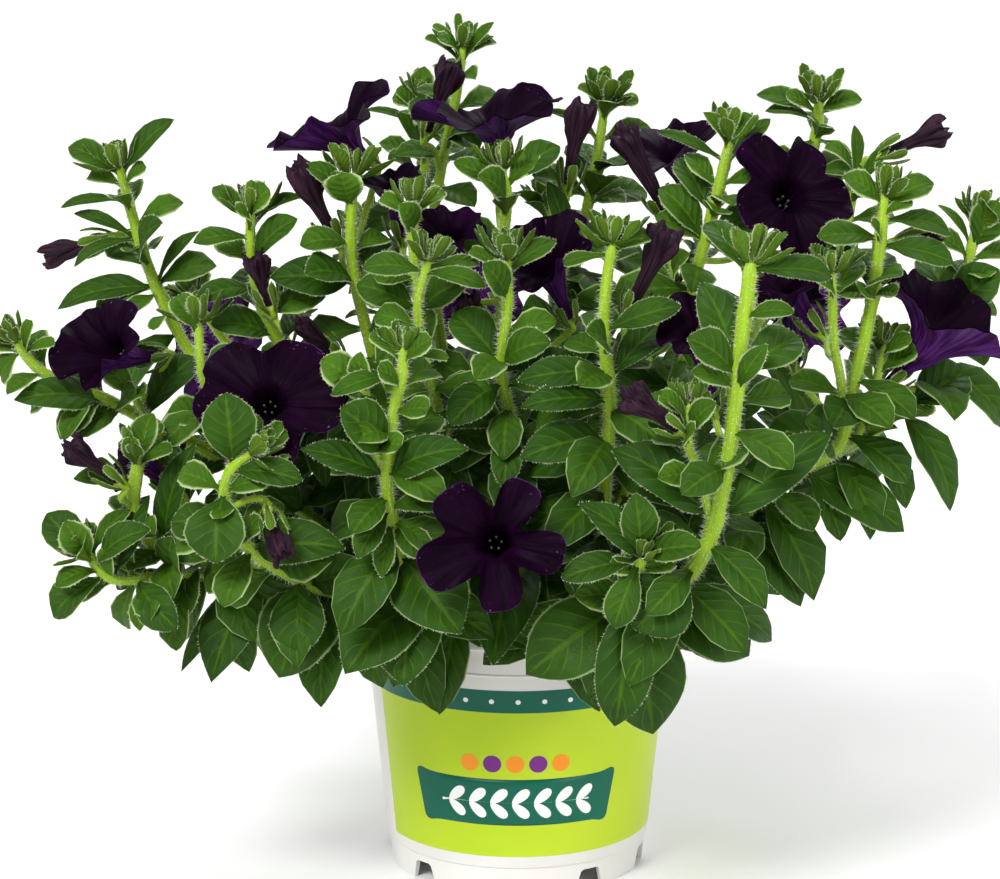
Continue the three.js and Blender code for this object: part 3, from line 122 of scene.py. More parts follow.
# Each leafy shoot with its stems. A stem has the knots of its path, its radius at foot and tip,
# the size of the tuft of young leaves at its tip, and the leaves that have a place of their own,
# each with its knot on the stem, the place of its tip and its width.
SHOOTS = {
  "shoot_left_tall": {
    "A": ([(-26, 10, 80), (-38, 8, 112), (-80, 0, 144), (-117, 10, 185), (-133, 15, 214),
      (-142, 20, 241), (-146, 20, 258)], (2.4, 1.7), 1, [(5.8, -165, 22, 265, 10),
      (5.8, -126, 18, 276, 10), (5.2, -169, 25, 242, 5), (4, -117, 10, 236, 6),
      (4, -171, 20, 205, 11), (3.9, -143, 2, 205, 8), (3.6, -133, 0, 201, 6), (4.6, -164, 25, 240, 5),
      (4.6, -164, 18, 221, 6)])},
  "shoot_left_far": {
    "B": ([(-32, -2, 80), (-50, -8, 112), (-101, -20, 153), (-134, -30, 174), (-146, -35, 182),
      (-169, -38, 193), (-179, -38, 205)], (2.4, 1.8), 0.8, [(5.7, -185, -36, 191, 12),
      (5.8, -180, -36, 210, 5), (5.6, -164, -46, 206, 5), (4.1, -179, -48, 186, 13),
      (3, -116, -22, 196, 15), (2.6, -128, -40, 152, 15), (3.6, -160, -44, 172, 13),
      (2.2, -112, -16, 184, 14)]),
    "D": ([(-98, -19, 151), (-104, -38, 168), (-111, -52, 194), (-113, -50, 215)], (1.7, 1.5), 0.9, [
      (2.8, -120, -52, 224, 9), (1.4, -124, -52, 182, 12), (2, -98, -60, 206, 11),
      (1, -86, -46, 168, 13)]),
    "B2": ([(-132, -29, 173), (-136, -37, 182), (-138, -42, 190)], (1.4, 1.3), 0.9, [])},
  "shoot_left_low": {
    "V": ([(-30, -14, 80), (-48, -28, 111), (-90, -52, 124), (-125, -62, 134), (-135, -68, 150),
      (-133, -66, 170)], (2.6, 2.2), 1, [(4.8, -135, -74, 178, 7), (4.8, -121, -72, 174, 6),
      (4.9, -128, -66, 185, 10), (4.5, -156, -72, 163, 7), (2, -109, -80, 91, 19),
      (2, -121, -64, 90, 9), (3, -114, -64, 174, 11), (2.6, -119, -78, 112, 13),
      (3.2, -106, -76, 137, 14)]),
    "W": ([(-88, -51, 123), (-118, -68, 127), (-142, -75, 127), (-152, -76, 138)], (1.8, 1.5), 0.8, [
      (2.8, -158, -82, 150, 11), (2.5, -128, -88, 149, 11), (2.8, -136, -72, 152, 7),
      (2.4, -162, -84, 127, 8), (2.2, -164, -78, 114, 13), (1.6, -119, -94, 114, 13),
      (1.5, -133, -82, 110, 7), (2, -130, -66, 156, 13), (2.6, -166, -70, 150, 13)])},
  "shoot_left_front": {
    "U": ([(-20, -22, 80), (-36, -46, 111), (-66, -80, 124), (-92, -102, 145), (-100, -108, 164),
      (-98, -110, 175), (-90, -112, 182)], (2.4, 1.8), 1, [(5.2, -99, -114, 203, 17),
      (5, -73, -120, 174, 10), (4.2, -103, -124, 146, 19), (3, -59, -114, 149, 15),
      (2, -84, -96, 97, 27), (2.3, -75, -108, 109, 18)])},
  "shoot_left_middle": {
    "C": ([(-19, -6, 80), (-30, -10, 120), (-62, -18, 168), (-87, -30, 205), (-93, -32, 222),
      (-95, -32, 238), (-95, -30, 250)], (2.2, 1.7), 1, [(5.8, -88, -36, 259, 11),
      (5.8, -109, -24, 258, 7), (5.8, -76, -20, 254, 5), (5.2, -115, -40, 241, 8),
      (4.6, -77, -42, 246, 11), (4, -114, -46, 221, 10), (3, -109, -42, 212, 13),
      (2.6, -104, -36, 190, 13), (1.8, -84, -34, 168, 14)])},
  "shoot_centre_left": {
    "G": ([(-12, -14, 80), (-20, -20, 120), (-42, -30, 163), (-54, -38, 209), (-59, -38, 234),
      (-59, -36, 250), (-59, -32, 263)], (2.2, 1.8), 1, [(5.2, -62, -44, 266, 13),
      (5.5, -77, -38, 267, 8), (4.3, -77, -46, 241, 11), (3.6, -88, -42, 229, 15)])},
  "shoot_centre_small": {
    "H": ([(-8, -6, 80), (-14, -16, 120), (-31, -40, 173), (-35, -55, 219), (-37, -55, 244),
      (-37, -52, 257)], (2.1, 1.6), 0.9, [(4.2, -41, -66, 259, 10), (4.6, -48, -50, 259, 6),
      (4.6, -26, -50, 261, 6)])},
  "shoot_top_left": {
    "E": ([(-10, 6, 80), (-16, 12, 120), (-25, 20, 170), (-32, 30, 221), (-29, 36, 250),
      (-23, 38, 279), (-20, 38, 300)], (2.3, 1.6), 0.8, [(5.7, -34, 40, 303, 4),
      (5.8, -31, 36, 308, 4), (5.9, -22, 37, 312, 3), (5.7, -9, 36, 309, 5)]),
    "F": ([(-20, 16, 145), (-33, 44, 185), (-37, 60, 215), (-35, 62, 249), (-36, 60, 278)],
      (1.9, 1.5), 0.8, [(3.8, -35, 60, 289, 9), (3.7, -45, 58, 281, 6), (3.6, -57, 60, 273, 4),
      (3.1, -45, 52, 273, 8)])},
  "shoot_centre": {
    "I": ([(0, -6, 80), (-3, -8, 120), (-6, -10, 169), (-6, -20, 216), (-5, -24, 240), (-4, -24, 253),
      (-6, -22, 265)], (2.1, 1.7), 0.9, [(5, -14, -36, 264, 12), (5.4, -23, -24, 267, 8),
      (5.4, 15, -18, 272, 11)])},
  "shoot_front_centre": {
    "K": ([(0, -20, 80), (-1, -38, 112), (-2, -55, 143), (-2, -70, 178), (-6, -75, 202),
      (-4, -76, 224), (-4, -74, 242)], (2.3, 1.7), 1, [(5.2, -12, -86, 242, 11),
      (5.7, 13, -74, 248, 7), (5.7, -17, -70, 244, 5), (3.8, -24, -92, 187, 13),
      (3.2, -36, -92, 186, 8), (4, 22, -80, 206, 9), (3.2, -5, -96, 165, 10),
      (1.6, -9, -104, 105, 22)]),
    "L": ([(-2, -52, 138), (-18, -62, 160), (-30, -73, 195), (-35, -78, 224), (-31, -76, 242)],
      (1.8, 1.5), 0.9, [(3.7, -54, -82, 240, 9), (3.7, -11, -86, 234, 7), (3.8, -13, -70, 239, 5)])},
  "shoot_front_left": {
    "Y": ([(-8, -30, 80), (-18, -52, 110), (-35, -80, 124), (-41, -98, 144), (-45, -105, 167),
      (-43, -106, 192), (-40, -105, 206), (-39, -104, 217)], (2.5, 1.8), 0.7, [
      (6.7, -24, -104, 213, 4), (6.1, -64, -112, 202, 7), (4.2, -74, -114, 184, 10),
      (4.2, -17, -118, 185, 13), (3.7, -55, -120, 147, 9), (3.7, -20, -120, 166, 9),
      (3.5, -47, -116, 139, 7), (3.4, -30, -118, 146, 10), (2, -60, -112, 104, 24),
      (2.2, -40, -108, 98, 23), (2.9, -20, -122, 121, 24)]),
    "Y2": ([(-45, -105, 166), (-50, -104, 188), (-51, -102, 198), (-56, -100, 203)],
      (1.5, 1.3), 0.6, [(2.8, -67, -106, 213, 12)])},
  "shoot_top_right": {
    "J": ([(8, 4, 80), (12, 10, 125), (16, 15, 171), (21, 18, 219), (27, 20, 249), (30, 20, 267),
      (32, 18, 283)], (2.2, 1.6), 1, [(5.8, 22, 18, 288, 5), (5.8, 44, 16, 283, 6),
      (4.3, 44, 8, 262, 8), (5, 9, 14, 280, 4), (3.8, 39, 8, 247, 10)]),
    "J2": ([(16, 14, 165), (15, 0, 201), (17, -6, 236)], (1.8, 1.5), 0, [(1.8, 11, -12, 258, 8)])},
  "shoot_right_centre": {
    "M": ([(14, -8, 80), (32, -14, 130), (55, -20, 179), (61, -34, 219), (66, -38, 241),
      (70, -38, 257), (75, -34, 277)], (2.4, 1.9), 1.1, [(5.6, 49, -36, 280, 5),
      (5.6, 95, -36, 277, 6), (5.8, 65, -38, 287, 6), (5.8, 81, -34, 286, 5), (5.2, 87, -46, 264, 7),
      (4.8, 78, -52, 258, 10), (4.6, 57, -26, 269, 13)]),
    "M2": ([(60, -32, 212), (56, -31, 226), (54, -28, 234)], (1.6, 1.4), 0, [])},
  "shoot_front_right_mid": {
    "N": ([(12, -24, 80), (20, -48, 110), (29, -75, 134), (30, -88, 166), (31, -92, 195),
      (29, -92, 220), (30, -90, 237), (32, -88, 250)], (2.4, 1.8), 1, [(6.6, 15, -90, 243, 5),
      (6.7, 46, -86, 250, 7), (5, 55, -98, 230, 10), (4.3, 49, -74, 218, 11), (4.4, -1, -98, 204, 11),
      (4, 0, -104, 196, 10), (3.5, 0, -108, 179, 15)])},
  "shoot_front_right": {
    "O": ([(22, -26, 80), (29, -42, 112), (48, -95, 127), (61, -118, 145), (67, -124, 165),
      (71, -126, 189), (73, -126, 215), (76, -124, 240), (77, -122, 250)], (2.9, 2.3), 1.1, [
      (2.8, 39, -128, 124, 23), (7.6, 105, -118, 244, 10), (7.4, 62, -110, 261, 10),
      (6, 61, -116, 242, 15), (6.6, 91, -134, 235, 7), (5.7, 57, -134, 215, 8),
      (5.7, 82, -134, 224, 7), (3.8, 31, -112, 184, 17), (3.8, 106, -114, 190, 15),
      (2, 81, -96, 105, 22), (2.4, 90, -88, 108, 13)]),
    "O2": ([(65, -122, 158), (61, -126, 177), (57, -124, 187), (57, -122, 202)], (1.6, 1.4), 0.7, [])},
  "shoot_front_low": {
    "T": ([(4, -32, 80), (12, -50, 111), (35, -98, 124), (40, -118, 141), (41, -122, 149)],
      (2.3, 1.9), 1, [(3.9, 20, -134, 170, 11), (3.9, 39, -130, 172, 12), (3.9, 61, -134, 155, 11),
      (3.6, 14, -128, 142, 10), (3.5, 32, -124, 123, 11), (2, 2, -112, 103, 24),
      (2.4, 33, -114, 84, 18), (2.1, 47, -106, 79, 26)])},
  "shoot_right_top": {
    "P": ([(22, 10, 80), (40, 18, 125), (76, 30, 172), (102, 44, 222), (111, 48, 263),
      (112, 46, 279)], (2.2, 1.7), 1, [(4.6, 89, 52, 280, 9), (4.6, 128, 44, 279, 9),
      (4.8, 107, 46, 289, 6), (4.8, 119, 46, 286, 5), (4, 103, 40, 257, 7), (4, 123, 40, 257, 7),
      (4.3, 92, 50, 274, 6)]),
    "Q": ([(76, 30, 172), (98, 28, 195), (119, 28, 225), (125, 28, 254)], (1.8, 1.5), 0, [
      (2.9, 124, 28, 272, 5), (2.8, 138, 28, 265, 5)])},
  "shoot_right_long": {
    "R": ([(28, -14, 80), (40, -32, 112), (75, -78, 150), (98, -74, 166), (112, -70, 174),
      (116, -68, 192), (121, -66, 213), (124, -64, 232), (126, -62, 251), (127, -60, 262)],
      (2.6, 2), 1, [(8.6, 112, -66, 269, 10), (8.6, 144, -62, 266, 10), (8.1, 151, -58, 247, 9),
      (7.6, 151, -68, 239, 11), (7.7, 103, -72, 249, 10), (6.7, 109, -74, 230, 8),
      (6.7, 131, -72, 229, 7), (3, 136, -76, 145, 19), (2.5, 102, -94, 150, 14),
      (2, 99, -90, 121, 17)]),
    "R2": ([(113, -69, 181), (112, -75, 197), (109, -76, 213), (108, -76, 238)], (1.7, 1.5), 0.8, []),
    "R3": ([(110, -71, 172), (118, -66, 176), (124, -60, 189), (129, -56, 208)], (1.7, 1.5), 0.8, []),
    "S": ([(104, -72, 169), (121, -54, 172), (138, -38, 181), (149, -30, 194), (156, -26, 217),
      (161, -24, 231), (164, -22, 248)], (2, 1.6), 0.8, [(5.3, 171, -24, 253, 13),
      (5.3, 150, -20, 251, 4), (2.4, 144, -40, 178, 9), (2, 161, -30, 192, 17),
      (1, 128, -64, 168, 11)])},
  "shoot_back_left": {
    "b1": ([(-24, 20, 80), (-44, 33, 114), (-92, 56, 160), (-124, 66, 200)], (2.2, 1.6), 1, [])},
  "shoot_back_left_mid": {
    "b2": ([(-14, 26, 80), (-32, 50, 113), (-74, 92, 150), (-96, 108, 185)], (2.2, 1.6), 1, [])},
  "shoot_back_left_high": {
    "b3": ([(-8, 15, 80), (-20, 44, 126), (-46, 80, 178), (-58, 92, 222)], (2.1, 1.6), 1, [])},
  "shoot_back_low": {
    "b4": ([(-4, 31, 80), (-12, 58, 112), (-26, 112, 142), (-32, 132, 174)], (2.2, 1.6), 1, [])},
  "shoot_back_high": {
    "b5": ([(5, 20, 80), (8, 46, 130), (14, 84, 184), (12, 94, 230)], (2.1, 1.6), 1, [])},
  "shoot_back_right_low": {
    "b6": ([(12, 30, 80), (22, 56, 113), (48, 108, 146), (56, 126, 180)], (2.2, 1.6), 1, [])},
  "shoot_back_right_mid": {
    "b7": ([(22, 22, 80), (40, 44, 116), (80, 78, 165), (94, 88, 205)], (2.2, 1.6), 1, [])},
  "shoot_back_right": {
    "b8": ([(31, 8, 80), (52, 20, 113), (106, 42, 145), (134, 48, 182)], (2.2, 1.6), 1, [])},
}

# Each flower: the stem that carries it, the knot where its stalk leaves the stem, the point where
# the stalk bends, the flower's foot, the middle of its mouth, the way it faces, how wide it is, and
# how far along it the throat lies where that differs from the others. Blooms are open, and the rest
# are wilted or in bud.
FLOWERS = {
  "bloom_top_left": ("G", 4, (-55, -16, 246), (-53, -5, 264), (-68, -14, 282), (-0.45, 0.05, 0.9), 50,
    0.52),
  "bloom_top_centre": ("I", 3.7, (-7, -8, 248), (-6, 4, 262), (-9, -2, 284), (-0.1, 0, 0.99), 54,
    0.5),
  "bloom_left_far": ("B", 3.3, (-131, -25, 186), (-128, -30, 198), (-149, -52, 207),
    (-0.5, -0.6, 0.62), 37, 0.6),
  "bloom_left_front": ("C", 2.5, (-78, -44, 182), (-82, -66, 182), (-87, -92, 197),
    (-0.05, -0.72, 0.68), 53),
  "bloom_front": ("K", 1.8, (-2, -70, 134), (-2, -90, 138), (-8, -130, 155), (0.08, -0.96, 0.2), 49),
  "bloom_right_top": ("M", 3.6, (76, -26, 232), (87, -18, 240), (97, -44, 260), (0.3, -0.8, 0.45),
    46),
  "bloom_right_far": ("S", 2.5, (134, -46, 188), (130, -54, 193), (153, -60, 221), (0.5, -0.15, 0.85),
    50, 0.45),
  "bloom_centre": ("I", 2.6, (8, -26, 198), (18, -38, 213), (8, -54, 242), (-0.25, -0.55, 0.8), 36,
    0.6),
  "bloom_front_right": ("O", 4.5, (70, -104, 180), (67, -88, 192), (58, -100, 224),
    (-0.35, -0.5, 0.75), 28),
  "bloom_right_inner": ("S", 1, (110, -32, 178), (100, -14, 191), (98, -26, 219), (0, -0.45, 0.9),
    26),
  "bloom_left_low": ("V", 3.4, (-124, -50, 143), (-122, -46, 152), (-139, -49, 166),
    (-0.8, -0.3, 0.5), 26),
  "bloom_right_high": ("M", 3.8, (63, -14, 240), (62, 2, 250), (55, -8, 274), (-0.2, -0.15, 0.96), 40,
    0.6),
  "bloom_centre_left": ("H", 3.4, (-41, -32, 230), (-42, -14, 238), (-45, -20, 260),
    (-0.1, -0.3, 0.95), 24),
  "bloom_right_small": ("R2", 1.6, (108, -66, 206), (105, -60, 213), (94, -64, 232),
    (-0.3, -0.4, 0.86), 26),
  "bloom_centre_dark": ("I", 3, (-14, -24, 216), (-22, -26, 224), (-24, -40, 246), (-0.1, -0.5, 0.85),
    28),
  "bloom_back": ("b5", 2, (-2, 104, 178), (-8, 114, 182), (-16, 136, 192), (-0.2, 0.93, 0.3), 50),
  "bloom_back_right": ("b7", 2, (92, 96, 168), (98, 106, 176), (112, 126, 184), (0.5, 0.82, 0.25),
    50),
  "bloom_back_left": ("b2", 2, (-88, 98, 156), (-98, 106, 162), (-118, 122, 168), (-0.65, 0.72, 0.2),
    48),
  "wilted_top": ("E", 4.1, (-31, 31, 262), (-33, 24, 270), (-24, 20, 296), (0.3, -0.1, 0.95), 10),
  "wilted_top_right": ("J2", 2, (17, -8, 244), (18, -9, 256), (23, -12, 286), (0.2, -0.1, 0.97), 10),
  "wilted_right": ("M2", 2, (54, -27, 240), (52, -26, 249), (36, -36, 280), (-0.5, -0.3, 0.85), 11),
  "wilted_front": ("N", 4.2, (36, -84, 212), (38, -80, 224), (51, -86, 254), (0.4, -0.2, 0.9), 11),
  "wilted_left_high": ("G", 3.6, (-62, -32, 230), (-65, -30, 240), (-78, -36, 268), (-0.4, -0.2, 0.9),
    11),
  "wilted_left_small": ("G", 2.6, (-58, -40, 190), (-64, -42, 199), (-77, -50, 214),
    (-0.6, -0.4, 0.7), 8),
  "wilted_left_low": ("V", 4.1, (-139, -74, 156), (-140, -76, 163), (-156, -82, 177),
    (-0.7, -0.3, 0.6), 9),
  "wilted_front_low": ("U", 3.8, (-91, -110, 165), (-85, -114, 161), (-80, -126, 149),
    (0.3, -0.7, -0.6), 9),
  "wilted_left_tall": ("A", 4.5, (-146, 22, 232), (-152, 24, 230), (-175, 30, 222), (-0.9, 0.2, -0.3),
    9),
  "wilted_right_top": ("Q", 3, (128, 27, 259), (134, 26, 261), (157, 26, 271), (0.9, 0, 0.4), 10),
  "wilted_front_right": ("O2", 1.6, (56, -127, 188), (53, -129, 194), (36, -135, 207),
    (-0.75, -0.25, 0.55), 11),
  "bud_left": ("C", 3.4, (-89, -36, 214), (-88, -40, 218), (-93, -42, 236), (-0.2, -0.1, 0.95), 9),
  "wilted_right_far": ("R", 7.6, (130, -54, 242), (135, -50, 243), (147, -50, 244), (0.95, 0, 0.1),
    8),
  "bud_centre": ("K", 4.2, (-13, -66, 208), (-17, -60, 213), (-18, -62, 226), (-0.1, -0.2, 0.95), 9),
}

# Numbers and vectors

UP = np.array([0.0, 0.0, 1.0])
TURN = 2 * math.pi
MASK = 0xFFFFFFFF


def chance(seed, count):
    """A repeatable number from 0 to 1, the same one as in the CAD part."""
    t = ((seed * 2654435761) ^ ((count + 1) * 1597334677)) & MASK
    t = ((t ^ (t >> 15)) * (t | 1)) & MASK
    t ^= (t + (t ^ (t >> 7)) * (t | 61)) & MASK
    return (t ^ (t >> 14)) / 4294967296


def between(low, high, seed, count):
    """A repeatable number from low to high."""
    return low + (high - low) * chance(seed, count)


def phase(seed, count):
    """A repeatable angle from anywhere round the circle, in radians."""
    return 6.28 * chance(seed, count)


def vec(*p):
    return np.array(p, float)


def unit(v):
    return v / np.linalg.norm(v)


def unit_rows(rows):
    """The rows of an array, each made 1 long."""
    return rows / np.linalg.norm(rows, axis=-1, keepdims=True)


def circle(count):
    """Angles spread evenly over a full turn."""
    return np.arange(count) * TURN / count


def along(points):
    """How far along a line each of its points lies, and the steps between them."""
    steps = np.linalg.norm(np.diff(points, axis=0), axis=1)
    return np.concatenate([[0], np.cumsum(steps)]), steps


def round_map(cols, v):
    """Map places of rings of points, ring by ring at its own v."""
    return np.stack([np.tile(np.arange(cols) / cols, len(v)), np.repeat(v, cols)], -1)


def turned(v, axis, angle):
    """v turned round a unit axis by an angle in radians."""
    c, s = math.cos(angle), math.sin(angle)
    return v * c + np.cross(axis, v) * s + axis * (axis @ v) * (1 - c)


def slanted(direction, angle, slant):
    """A direction at a slant to the stem, turned round it by an angle."""
    side = unit(np.array([1.0, 0, 0]) - direction * direction[0])
    across = np.cross(direction, side)
    return (direction * math.cos(slant)
            + (side * math.cos(angle) + across * math.sin(angle)) * math.sin(slant))


class Curve:
    """A smooth curve through points, the same one as three.js draws."""

    def __init__(self, points):
        self.points = [np.array(p, float) for p in points]

    def point(self, t):
        pts = self.points
        last = len(pts) - 1
        place = min(max(t, 0), 1) * last
        k = min(int(place), last - 1)
        w = place - k
        p0 = pts[k - 1] if k > 0 else 2 * pts[0] - pts[1]
        p3 = pts[k + 2] if k + 2 <= last else 2 * pts[last] - pts[last - 1]
        p1, p2 = pts[k], pts[k + 1]
        m1, m2 = 0.5 * (p2 - p0), 0.5 * (p3 - p1)
        return (p1 + m1 * w + (-3 * p1 + 3 * p2 - 2 * m1 - m2) * w * w
                + (2 * p1 - 2 * p2 + m1 + m2) * w ** 3)

    def direction(self, t):
        return unit(self.point(min(t + 0.01, 1)) - self.point(max(t - 0.01, 0)))


# Stems: the CAD part has straight stretches between stops, and the fine stem is smooth

LENGTH_STEPS = 8    # places between two knots at which a stem's length is measured
CROWDED_TIP = 2     # leaves of their own near the tip, past which the tuft has no outer leaves


class Stem:
    """One stem of a shoot. Places along it are counted in knots of its path."""

    def __init__(self, node, key, seed, path, radii, head, leaves):
        self.node, self.key, self.seed = node, key, seed
        self.radii, self.head, self.leaves = radii, head, leaves
        self.curve = Curve(path)
        self.last = len(path) - 1
        self.rooted = path[0][2] < SOIL_TOP
        self.bare = BARE_FOOT if self.rooted else BARE_BRANCH
        self.stops = [0]
        for k in range(self.last):
            far = np.linalg.norm(self.curve.points[k + 1] - self.curve.points[k]) > LONG_KNOT
            if far and not (k == 0 and self.rooted):
                self.stops.append(k + 0.5)
            self.stops.append(k + 1)
        self.centres = [self.curve.point(at / self.last) for at in self.stops]
        tip = self.curve.points[-1]
        near = [leaf for leaf in self.leaves
                if np.linalg.norm(self.at(leaf[0])[0] - tip) < TIP_ZONE]
        self.crowded = len(near) > CROWDED_TIP

    def at(self, at):
        """The point on the straight stretches, and the direction, at a knot number."""
        k = next((i for i, stop in enumerate(self.stops) if stop >= at), len(self.stops) - 1)
        k = max(k, 1)
        share = min(max((at - self.stops[k - 1]) / (self.stops[k] - self.stops[k - 1]), 0), 1)
        point = self.centres[k - 1] * (1 - share) + self.centres[k] * share
        return point, self.curve.direction(at / self.last)

    def smooth(self, at):
        """The point on the smooth stem at a knot number."""
        return self.curve.point(at / self.last)

    def lengths(self):
        """How far each measured place lies from the foot."""
        points = [self.at(k / LENGTH_STEPS)[0] for k in range(self.last * LENGTH_STEPS + 1)]
        steps = [np.linalg.norm(b - a) for a, b in zip(points, points[1:])]
        return np.concatenate([[0], np.cumsum(steps)])


# Leaves

# Where the CAD leaf has its corners along its length, by the size below which it has them
EDGE_PLACES = [(SMALL_LEAF, [0.58]), (GROWN_LEAF, [0.36, 0.76]), (math.inf, [0.17, 0.48, 0.8])]
EDGE_LIFT = 0.35

# The fine leaf alone: leaves shorter than SPOON_LEAF have a spoon's outline, and the rest narrow
# to a point over a share of their length
SPOON_OUTLINE = (1.05, 0.36)
SPOON_LEAF = 16
POINT_LENGTH = 0.36
POINT_SHARPNESS = 0.3


class Leaf:
    """A leaf on an arched midrib from its base to its tip, its sides lifted by the fold."""

    def __init__(self, base, tip, width, face, bend, fold, tone=0.5, size=0, at=0):
        self.base, self.tip, self.width, self.face_hint = base, tip, width, face
        self.bend, self.fold, self.tone, self.size, self.at = bend, fold, tone, size, at
        self.chord = tip - base
        self.length = float(np.linalg.norm(self.chord))
        self.forward = self.chord / self.length
        self.face = unit(face - self.forward * (face @ self.forward))
        self.side = np.cross(self.forward, self.face)
        self.arch = 4 * bend * self.length

    def rib(self, u):
        """Points of the midrib at shares of its length."""
        u = np.asarray(u, float)[..., None]
        return self.base + self.chord * u + self.face * self.arch * u * (1 - u)

    def normal(self, u):
        u = np.asarray(u, float)[..., None]
        return unit_rows(self.face * self.length - self.forward * self.arch * (1 - 2 * u))

    def outline(self, u, rise, fall):
        """Half the width at shares of the length, for an outline that rises and falls so."""
        u = np.asarray(u, float)
        q = np.clip((u - PETIOLE_END) / (1 - PETIOLE_END), 0, 1)
        peak = rise / (rise + fall)
        blade = q ** rise * (1 - q) ** fall / (peak ** rise * (1 - peak) ** fall)
        petiole = np.where(u < 0.5, min(PETIOLE_HALF_WIDTH, self.width * 0.2), 0)
        return np.maximum(self.width / 2 * blade, petiole)

    def half(self, u):
        """Half the width of the CAD leaf."""
        return self.outline(u, *(YOUNG_OUTLINE if self.size < GROWN_LEAF else GROWN_OUTLINE))

    def fine_half(self, u):
        """Half the width of the fine leaf: a spoon when it is small, else with a finer point."""
        if self.length < SPOON_LEAF:
            return self.outline(u, *SPOON_OUTLINE)
        from_point = np.clip((u - 1) / POINT_LENGTH + 1, 0, 1)
        return self.half(u) * np.maximum(1 - from_point ** 2, 0) ** POINT_SHARPNESS

    def moved(self, base, tip, width):
        """The same kind of leaf at another place."""
        return Leaf(base, tip, width, self.face_hint, self.bend, self.fold, self.tone, self.size,
                    self.at)

    def turned(self, turn, lift, scale):
        chord = turned(self.chord, self.side, math.radians(lift))
        chord = turned(chord, self.face, math.radians(turn)) * scale
        return self.moved(self.base, self.base + chord, self.width * scale)

    def shoulders(self):
        """The tip and the edge points that the CAD leaf has, to find it again there."""
        u = np.array(next(places for size, places in EDGE_PLACES if self.size < size))
        half = self.half(u)
        lift = np.maximum(self.fold * half, EDGE_LIFT)
        top = self.rib(u) + self.normal(u) * lift[:, None]
        edge = self.side * half[:, None]
        return np.concatenate([[self.tip], top - edge, top + edge])


# Turns, lifts and scales that a leaf tries in order, in degrees and shares of its length. It
# tries a turn to one side and then to the other.
TRIES = [
    (side * turn, lift, scale) for turn, lift, scale in (
        (0, 0, 1), (13, 0, 1), (0, 11, 1), (0, -11, 1), (0, 0, 0.86), (24, 8, 0.95), (22, -14, 0.92),
        (0, 22, 0.9), (0, -24, 0.9), (38, 0, 0.85), (0, 0, 0.7), (30, 24, 0.78), (46, -14, 0.72),
        (64, 8, 0.68), (0, 40, 0.7), (0, -42, 0.7))
    for side in ((1, -1) if turn else (1,))
]
# Turns and scales that a tuft tries in order, in radians and shares of its length
TUFT_TRIES = [
    (0, 1), (0.4, 1), (0.8, 1), (0, 0.85), (0.4, 0.85), (0.8, 0.85), (0, 0.7), (0.6, 0.7),
    (0, 0.55),
]

# What the face of a leaf turns to: along its stem, up, outward, and in front to the viewer
FACE_ALONG, FACE_UP, FACE_OUT, FACE_FRONT = 0.3, 0.55, 0.25, 0.75

# Where the repeatable numbers of each measure start to count, as in the CAD part
TURN_KEY, LENGTH_KEY, WIDTH_KEY, FOLD_KEY, STEP_KEY, TUFT_KEY = 90, 200, 300, 500, 700, 3000

# Rules for leaves in pairs down a stem. The turns are those from stem to stem, from pair to pair
# and between the two of a pair. Slant, length and droop have a start, a step for each pair down
# the stem and a limit. Lengths and droops vary by a share, and slants by an angle.
PAIRS = {
    "keys": 1000, "stem_turn": 2.2, "level_turn": 1.75, "opposite": (2.7, 3.3),
    "slant": (0.85, 0.14, 1.45), "slant_play": 0.2, "length": (19, 4.5, 34),
    "length_play": (0.85, 1.15), "droop": (0, 0.06, 0.3), "width": (0.56, 0.66),
}
SPARSE_PAIRS = {**PAIRS, "length": (25, 4.5, 34)}
FILLERS = {
    "keys": 6000, "stem_turn": 2.9, "level_turn": 1.6, "opposite": (2.8, 3.3),
    "slant": (0.8, 0.12, 1.5), "slant_play": 0.25, "length": (15, 2.3, 30),
    "length_play": (0.8, 1.2), "droop": (0, 0.05, 0.25), "width": (0.5, 0.62),
}


def leaf_face(direction, point):
    outward = unit(np.array([point[0], point[1], 0]))
    front = FACE_FRONT if point[1] < FRONT_LIMIT else 0
    return direction * FACE_ALONG + UP * FACE_UP + outward * FACE_OUT - np.array([0, front, 0])


def stem_leaf(stem, at, tip, width, key):
    """A leaf that springs from the side of its stem at a knot number."""
    point, direction = stem.at(at)
    reach = tip - point
    across = unit(reach - direction * (reach @ direction))
    return Leaf(point + across * LEAF_ROOT, tip, width, leaf_face(direction, point),
                between(0.06, 0.16, stem.seed, key), between(0.14, 0.3, stem.seed, key + FOLD_KEY),
                size=float(np.linalg.norm(reach)), at=at)


def hand_leaves(stem):
    """The leaves that have a place of their own."""
    return [stem_leaf(stem, at, vec(x, y, z), width * LEAF_FULLNESS, k)
            for k, (at, x, y, z, width) in enumerate(stem.leaves)]


def leaf_pairs(stem, rule, start, bare, step):
    """Leaves in pairs by a rule, down a stem from a start, each with its level and its key."""
    lengths = stem.lengths()
    seed, reach, level = stem.seed, lengths[-1] - start, 0

    def grown(name):
        first, more, limit = rule[name]
        return min(first + more * level, limit)

    while reach > bare:
        at = int(np.argmax(lengths >= reach)) / LENGTH_STEPS
        point, direction = stem.at(at)
        for half in (0, 1):
            key = rule["keys"] + level * 2 + half
            angle = (rule["stem_turn"] * seed + rule["level_turn"] * level
                     + half * between(*rule["opposite"], seed, key + TURN_KEY))
            slant = grown("slant") + rule["slant_play"] * chance(seed, key)
            length = grown("length") * between(*rule["length_play"], seed, key + LENGTH_KEY)
            tip = (point + slanted(direction, angle, slant) * length
                   - UP * grown("droop") * length)
            width = length * between(*rule["width"], seed, key + WIDTH_KEY)
            yield level, key, stem_leaf(stem, at, tip, width, key)
        reach -= step * between(0.85, 1.15, seed, rule["keys"] + STEP_KEY + level)
        level += 1


